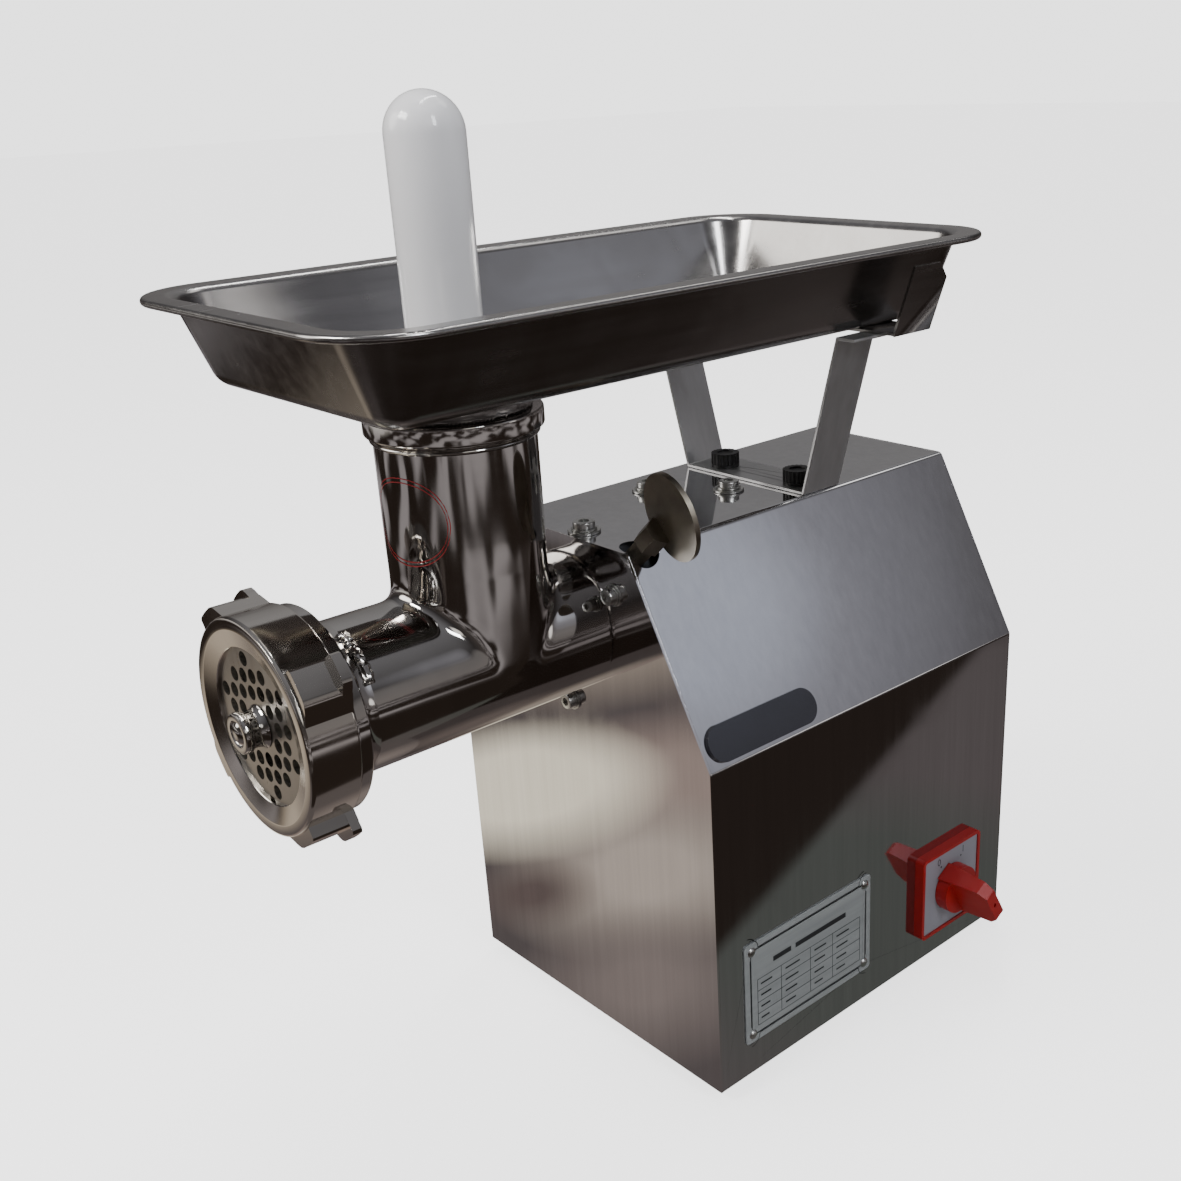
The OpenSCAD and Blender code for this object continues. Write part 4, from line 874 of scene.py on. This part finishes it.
def makeStomper():
    size = stomperSizes
    a, b = low("stomper"), high("stomper")
    r = (b.x - a.x) / 2
    dome = [(r * cos(i * pi / 2 / size["steps"]),
            b.z - r + r * sin(i * pi / 2 / size["steps"]))
            for i in range(size["steps"] + 1)]
    profile = [(0, a.z), (r - size["draft"] - 0.002, a.z), (r - size["draft"], a.z + 0.002),
            (r, b.z - r - 0.03)] + dome
    piece = turned("stomperBody", profile)
    placed(piece, (0, neckY, 0))
    settle(piece, "stomper", plastic["white"], ["stomper"])


makeStomper()

print("clamp screw thread")
clampSizes = {"rootR": 0.0052, "crestR": 0.006, "pitch": 0.00175, "from": 0.062, "to": 0.084}


def makeClampThread():
    size = clampSizes
    joint = [j for j in frame["record"]["behaviour"]["joints"] if j["name"] == "clamp_turn"][0]
    axis = Vector(joint["axis"]).normalized()
    count = int((size["to"] - size["from"]) / size["pitch"])
    line = [(size["rootR"], size["from"])]
    for i in range(count):
        z = size["from"] + i * size["pitch"]
        line += [(size["crestR"] + 0.0001, z + size["pitch"] * 0.45),
                (size["crestR"] + 0.0001, z + size["pitch"] * 0.6),
                (size["rootR"], z + size["pitch"])]
    line += [(size["rootR"] - 0.001, size["to"]), (size["rootR"] - 0.001, size["from"])]
    thread = turned("clampThread", line, True)
    turn = Vector((0, 0, 1)).rotation_difference(axis).to_matrix().to_4x4()
    placed(thread, joint["pos_m"], turn)
    settle(thread, "clamp", steel["nickel"])


makeClampThread()

print("plate, badge and marks")
printSizes = {"line": 0.0006, "frame": 0.0045, "arc": 0.007, "rows": 4, "proud": 0.00006}


def flatBar(name, x, y0, y1, z0, z1):
    # a thin printed bar on the switch side
    deselect()
    bpy.ops.mesh.primitive_plane_add(size=1, rotation=(0, radians(90), 0),
            location=(x, (y0 + y1) / 2, (z0 + z1) / 2))
    bar = named(name)
    bpy.ops.object.transform_apply(location=False, rotation=True, scale=False)
    bar.scale = (1, y1 - y0, z1 - z0)
    bakePlace()
    return bar


def makePlatePrint():
    size = printSizes
    a, b = low("data_plate"), high("data_plate")
    x = b.x + size["proud"]
    w, m, r = size["line"], size["frame"], size["arc"]
    bars = []
    for z in (a.z + m, b.z - m):
        bars.append(flatBar("edge", x, a.y + m + r, b.y - m - r, z - w / 2, z + w / 2))
    for y in (a.y + m, b.y - m):
        bars.append(flatBar("edge", x, y - w / 2, y + w / 2, a.z + m + r, b.z - m - r))
    left, right = a.y + m + 0.006, b.y - m - 0.006
    bottom, top = a.z + m + 0.006, a.z + 0.044
    for i in range(size["rows"] + 1):
        z = bottom + (top - bottom) * i / size["rows"]
        bars.append(flatBar("rule", x, left, right, z - w / 3, z + w / 3))
    for share in (0, 0.22, 0.5, 0.72, 1):
        y = left + (right - left) * share
        bars.append(flatBar("rule", x, y - w / 3, y + w / 3, bottom, top))
    bars.append(flatBar("title", x, left + 0.014, left + 0.030, top + 0.0065, top + 0.0100))
    bars.append(flatBar("title", x, left + 0.034, right - 0.014, top + 0.0065, top + 0.0100))
    step = (top - bottom) / size["rows"]
    for row in range(size["rows"]):
        for share, length in ((0.03, 0.010), (0.26, 0.013), (0.54, 0.011), (0.76, 0.012)):
            y = left + (right - left) * share
            z = bottom + step * (row + 0.5)
            bars.append(flatBar("entry", x, y, y + length * (0.7 + 0.1 * row), z - w, z + w))
    # corner arcs bow inwards round the rivets
    for sy, y in ((1, a.y + m), (-1, b.y - m)):
        for sz, z in ((1, a.z + m), (-1, b.z - m)):
            arc = startPoint("arc", (x, y + sy * (r - w / 2), z))
            drawLine([(0, 0, 0), (0, sy * w, 0)])
            selectAll()
            bpy.ops.mesh.spin(steps=10, angle=pi / 2 * sy * sz, center=(x, y, z),
                    axis=(1, 0, 0))
            leaveEdit()
            bars.append(arc)
    piece = joined("platePrint", bars)
    settle(piece, "housing", plastic["ink"])


markSizes = {"lean": 30, "reach": 0.0265, "digit": 0.0075, "dotReach": 0.0218, "dotR": 0.0008}


def makeSwitchMarks():
    size = markSizes
    face = high("switch_face")
    centre = middle("switch_face")
    x = face.x + printSizes["proud"]
    marks = []
    for label, angle in (("0", size["lean"]), ("1", -size["lean"])):
        deselect()
        lean = radians(angle)
        reach, dotReach = size["reach"], size["dotReach"]
        bpy.ops.object.text_add(rotation=(pi / 2, 0, pi / 2),
                location=(x, centre.y - reach * sin(lean),
                centre.z + reach * cos(lean)))
        text = bpy.context.object
        text.data.body = label
        text.data.size = size["digit"]
        text.data.align_x = "CENTER"
        text.data.align_y = "CENTER"
        bpy.ops.object.convert(target="MESH")
        bakePlace()
        marks.append(bpy.context.object)
        deselect()
        bpy.ops.mesh.primitive_circle_add(vertices=20, radius=size["dotR"], fill_type="NGON",
                rotation=(0, pi / 2, 0),
                location=(x, centre.y - dotReach * sin(lean),
                centre.z + dotReach * cos(lean)))
        bakePlace()
        marks.append(bpy.context.object)
    piece = joined("switchMarks", marks)
    settle(piece, "housing", plastic["ink"])


makePlatePrint()
makeSwitchMarks()
refined("badge", "badgeBar", 0.0008, "housing", plastic["badge"], "badge", 3)

ovalSizes = {"halfWidth": 0.037, "halfHeight": 0.024, "line": 0.0005, "gap": 0.0022,
        "height": 0.088, "turn": -77}


def makeNeckOval():
    size = ovalSizes
    rings = []
    deselect()
    bpy.ops.mesh.primitive_cylinder_add(vertices=256, radius=headSizes["neckR"] + 0.00012,
            depth=0.2, location=(0, neckY, barrelZ + 0.1))
    skin = named("labelSkin")
    for k in range(2):
        shrink = k * size["gap"]
        deselect()
        bpy.ops.mesh.primitive_circle_add(vertices=96, radius=1, fill_type="NGON")
        ring = named("oval")
        ring.scale = (size["halfWidth"] - shrink, size["halfHeight"] - shrink, 1)
        bakePlace()
        enterEdit()
        selectAll()
        bpy.ops.mesh.inset(thickness=size["line"])
        pick(ring, faces=lambda f: len(f.verts) > 8)
        bpy.ops.mesh.delete(type="FACE")
        leaveEdit()
        rings.append(ring)
    label = joined("neckOval", rings)
    turn = Matrix.Rotation(radians(size["turn"] + 90), 4, "Z") @ alongBarrel
    out = Vector((cos(radians(size["turn"])), sin(radians(size["turn"])), 0))
    place = Vector((0, neckY, barrelZ + size["height"])) + out * (headSizes["neckR"] + 0.01)
    placed(label, place, turn)
    addModifier(label, "lie on the neck", "SHRINKWRAP",
            target=skin, wrap_method="NEAREST_SURFACEPOINT")
    applyAll(label)
    bpy.data.objects.remove(skin, do_unlink=True)
    settle(label, "head", plastic["redInk"])


makeNeckOval()

print("louvres")
louvreSizes = {"proud": 0.0030, "width": 0.070, "height": 0.0055, "pitch": 0.012, "rows": 9,
        "below": 0.060, "side": 0.044, "lift": 0.0015, "sheet": 0.0008}


def makeLouvres():
    size = louvreSizes
    rearY = high("rear_panel").y
    startZ = middle("motor_can").z - size["below"]
    deselect()
    bpy.ops.mesh.primitive_cylinder_add(vertices=24, radius=size["height"], depth=size["width"],
            rotation=(0, pi / 2, 0))
    hood = named("hood")
    bakePlace()
    enterEdit()
    selectAll()
    bpy.ops.transform.resize(value=(1, size["proud"] / size["height"], 1))
    bpy.ops.mesh.bisect(plane_co=(0, 0, 0), plane_no=(0, 1, 0), clear_inner=True)
    selectAll()
    bpy.ops.mesh.bisect(plane_co=(0, 0, 0), plane_no=(0, 0, 1), clear_inner=True)
    leaveEdit()
    addModifier(hood, "sheet", "SOLIDIFY", thickness=size["sheet"])
    applyAll(hood)
    places = [(side * size["side"], rearY, startZ + row * size["pitch"] + size["lift"])
            for row in range(size["rows"]) for side in (-1, 1)]
    piece = repeated("rearLouvres", hood, places)
    settle(piece, "housing", steel["sheetSide"])


makeLouvres()

print("stage, light and camera")
# the mirrored, dark and pale colours and the dark side region are painted reflections: the floor
# shows them only to glossy rays; paper and glow are the even floor the camera sees
stageSizes = {
    "floor": 30.0, "farFrom": (0.70, 0.95), "paper": (0.88, 0.88, 0.89), "glow": 2.0,
    "backdrop": 2.5, "mirrored": (0.14, 0.12, 0.118), "reflectedDark": (0.03, 0.022, 0.018),
    "reflectedPale": (0.42, 0.39, 0.40), "darkReflectionSide": ((0.947, -0.319), 0.236, 0.006)}
# painted reflections: soft patches on the floor that only glossy rays see, so polished metal shows
# them as reflections: centre, radius, softness, colour
paintedReflectionSpots = [
    ((-0.22, -0.42), 0.08, 0.07, (0.44, 0.35, 0.31)),
    ((-0.12, -0.29), 0.07, 0.06, (0.66, 0.58, 0.50)),
    ((-0.31, -0.31), 0.09, 0.05, (1.45, 1.35, 1.08)),
    ((-0.16, -0.205), 0.028, 0.030, (0.18, 0.14, 0.13)),
    ((-0.01, -0.19), 0.05, 0.05, (0.32, 0.27, 0.25)),
    ((0.18, 0.08), 0.16, 0.08, (0.11, 0.115, 0.105)),
    ((-2.6, -2.3), 0.9, 0.7, (0.95, 0.92, 0.87)),
    ((0.42, -0.46), 0.10, 0.06, (1.3, 1.25, 1.25)),
    ((-0.60, -0.60), 0.15, 0.12, (0.62, 0.53, 0.43)),
]


def makeFloor():
    deselect()
    bpy.ops.mesh.primitive_plane_add(size=stageSizes["floor"], location=(0, 0, -0.0002))
    floor = named("paleFloor")
    material, tree, shader = newMaterial("pale floor")
    shader.inputs["Roughness"].default_value = 0.9
    shader.inputs["Base Color"].default_value = (*stageSizes["paper"], 1)
    # painted reflection: the clouds, spots and dark side region are built here as emission that
    # only glossy rays see, so the metal shows them as reflections of a room
    place = stretched(tree, (1, 1, 1))
    cloud = setInputs(addNode(tree, "TexNoise"), Scale=1.7, Detail=1, Distortion=0.4)
    tree.links.new(place, cloud.inputs["Vector"])
    clouds = blendColour(tree, ranged(tree, cloud.outputs["Fac"], 0, 1, 0.49, 0.60),
            stageSizes["reflectedDark"], stageSizes["reflectedPale"])
    far = measured(tree, "LENGTH", place)
    total = layered(tree, ranged(tree, far, 0, 1, *stageSizes["farFrom"]),
            stageSizes["mirrored"], clouds)
    # each painted reflection spot is laid over the pattern that glossy rays see
    for (x, y), radius, soft, colour in paintedReflectionSpots:
        reach = measured(tree, "DISTANCE", place, (x, y, 0))
        mask = ranged(tree, reach, 1, 0, radius - soft * 0.5, radius + soft)
        total = layered(tree, mask, total, colour)
    # painted reflection: a dark region beyond this line, which the side panel shows as a dark
    # reflected wedge
    (nx, ny), distance, soft = stageSizes["darkReflectionSide"]
    dot = measured(tree, "DOT_PRODUCT", place, (nx, ny, 0))
    side = ranged(tree, dot, 0, 1, distance - soft, distance + soft)
    nearMask = ranged(tree, far, 1, 0, *stageSizes["farFrom"])
    total = layered(tree, mathNode(tree, "MULTIPLY", side, nearMask), total,
            stageSizes["reflectedDark"])
    # painted reflection: glossy rays see this emission, while the camera sees the pale paper
    reflectionEmission = addNode(tree, "Emission")
    tree.links.new(total, reflectionEmission.inputs["Color"])
    glow = setInputs(addNode(tree, "Emission"), Strength=stageSizes["glow"])
    paper = addNode(tree, "AddShader")
    tree.links.new(shader.outputs[0], paper.inputs[0])
    tree.links.new(glow.outputs[0], paper.inputs[1])
    camera = whenRay(tree, "Is Camera Ray", shader, paper)
    mix = whenRay(tree, "Is Glossy Ray", camera, reflectionEmission)
    tree.links.new(mix.outputs[0], tree.nodes["Material Output"].inputs["Surface"])
    floor.data.materials.append(material)


roomPatches = [
    # direction, half angle in degrees, softness, colour, strength
    ((0.690, 0.622, 0.375), 2.5, 0.0050, (0.72, 0.82, 1.0), 0.30),
    ((0.700, 0.605, 0.360), 5, 0.0220, (0.76, 0.78, 0.90), 0.27),
    ((-0.69, 0.62, 0.42), 18, 0.10, (0.86, 0.85, 0.85), 0.22),
    ((-0.15, 0.10, 1.0), 10, 0.02, (1.0, 0.98, 0.95), 0.9),
    ((0.05, 0.66, 0.75), 7, 0.01, (1.0, 0.98, 0.96), 2.4),
    ((0.72, 0.68, 0.02), 4, 0.004, (1.0, 0.97, 0.94), 1.5),
    ((0.95, -0.25, 0.45), 8, 0.01, (1.0, 0.97, 0.92), 1.3),
    ((-0.66, -0.65, 0.38), 12, 0.03, (1.0, 0.97, 0.93), 4.2),
    ((0.90, 0.43, 0.09), 8, 0.02, (1.0, 0.96, 0.96), 0.16),
    ((0.61, 0.75, 0.26), 13, 0.04, (0.92, 0.90, 0.98), 0.11),
]


def makeWorld():
    world = bpy.data.worlds.new("studio room")
    bpy.context.scene.world = world
    world.use_nodes = True
    tree = world.node_tree
    room = tree.nodes["Background"]
    place = addNode(tree, "TexCoord")
    split = addNode(tree, "SeparateXYZ")
    tree.links.new(place.outputs["Generated"], split.inputs["Vector"])
    height = addNode(tree, "ValToRGB")
    ramp = height.color_ramp
    ramp.elements[0].position = 0.46
    ramp.elements[0].color = (0.10, 0.085, 0.08, 1)
    ramp.elements[1].position = 1.0
    ramp.elements[1].color = (0.26, 0.26, 0.28, 1)
    middleStop = ramp.elements.new(0.62)
    middleStop.color = (0.05, 0.045, 0.045, 1)
    tree.links.new(mathNode(tree, "ADD", mathNode(tree, "MULTIPLY", split.outputs["Z"], 0.5), 0.5),
            height.inputs["Fac"])
    total = height.outputs["Color"]
    for direction, angle, soft, colour, strength in roomPatches:
        dot = measured(tree, "DOT_PRODUCT", place.outputs["Generated"],
                Vector(direction).normalized())
        edge = cos(radians(angle))
        mask = ranged(tree, dot, 0, strength, edge - soft, edge)
        scale = addNode(tree, "VectorMath", operation="SCALE")
        scale.inputs[0].default_value = colour
        tree.links.new(mask, scale.inputs["Scale"])
        add = addNode(tree, "VectorMath", operation="ADD")
        tree.links.new(total, add.inputs[0])
        tree.links.new(scale.outputs["Vector"], add.inputs[1])
        total = add.outputs["Vector"]
    tree.links.new(total, room.inputs["Color"])
    backdrop = setInputs(
        addNode(tree, "Background"),
        Color=(1, 1, 1, 1), Strength=stageSizes["backdrop"])
    mix = whenRay(tree, "Is Camera Ray", room, backdrop)
    tree.links.new(mix.outputs[0], tree.nodes["World Output"].inputs["Surface"])


def makeLight(name, place, target, size, power, colour):
    deselect()
    bpy.ops.object.light_add(type="AREA", location=place)
    light = bpy.context.object
    light.name = name
    light.data.shape = "RECTANGLE"
    light.data.size, light.data.size_y = size
    light.data.energy = power
    light.data.color = colour
    aim = Vector(target) - Vector(place)
    light.rotation_euler = aim.to_track_quat("-Z", "Y").to_euler()


cameraSettings = {"place": (0.6259, -0.6099, 0.5941), "azimuth": 48.096, "tilt": 67.91,
        "roll": -2.431, "lens": 42.7017, "shift": (-0.0792, 0.03757)}


def makeCamera():
    bpy.ops.object.camera_add(location=cameraSettings["place"])
    camera = bpy.context.object
    turn = (Matrix.Rotation(radians(cameraSettings["azimuth"]), 4, "Z")
            @ Matrix.Rotation(radians(cameraSettings["tilt"]), 4, "X")
            @ Matrix.Rotation(radians(cameraSettings["roll"]), 4, "Z"))
    camera.rotation_euler = turn.to_euler()
    camera.data.lens = cameraSettings["lens"]
    camera.data.sensor_width = 36
    camera.data.shift_x, camera.data.shift_y = cameraSettings["shift"]
    bpy.context.scene.camera = camera


makeFloor()
makeWorld()
makeLight("keyBox", (-0.4, -1.6, 1.8), (0, -0.1, 0.3), (0.9, 0.5), 34, (1.0, 0.98, 0.96))
makeLight("fillBox", (1.8, -0.2, 1.6), (0, 0, 0.25), (0.35, 0.9), 16, (0.92, 0.95, 1.0))
makeLight("ceilingStrip", (-0.2, 0.3, 2.3), (0, -0.1, 0.3), (0.15, 1.6), 14, (1, 1, 1))
makeCamera()

print("done")
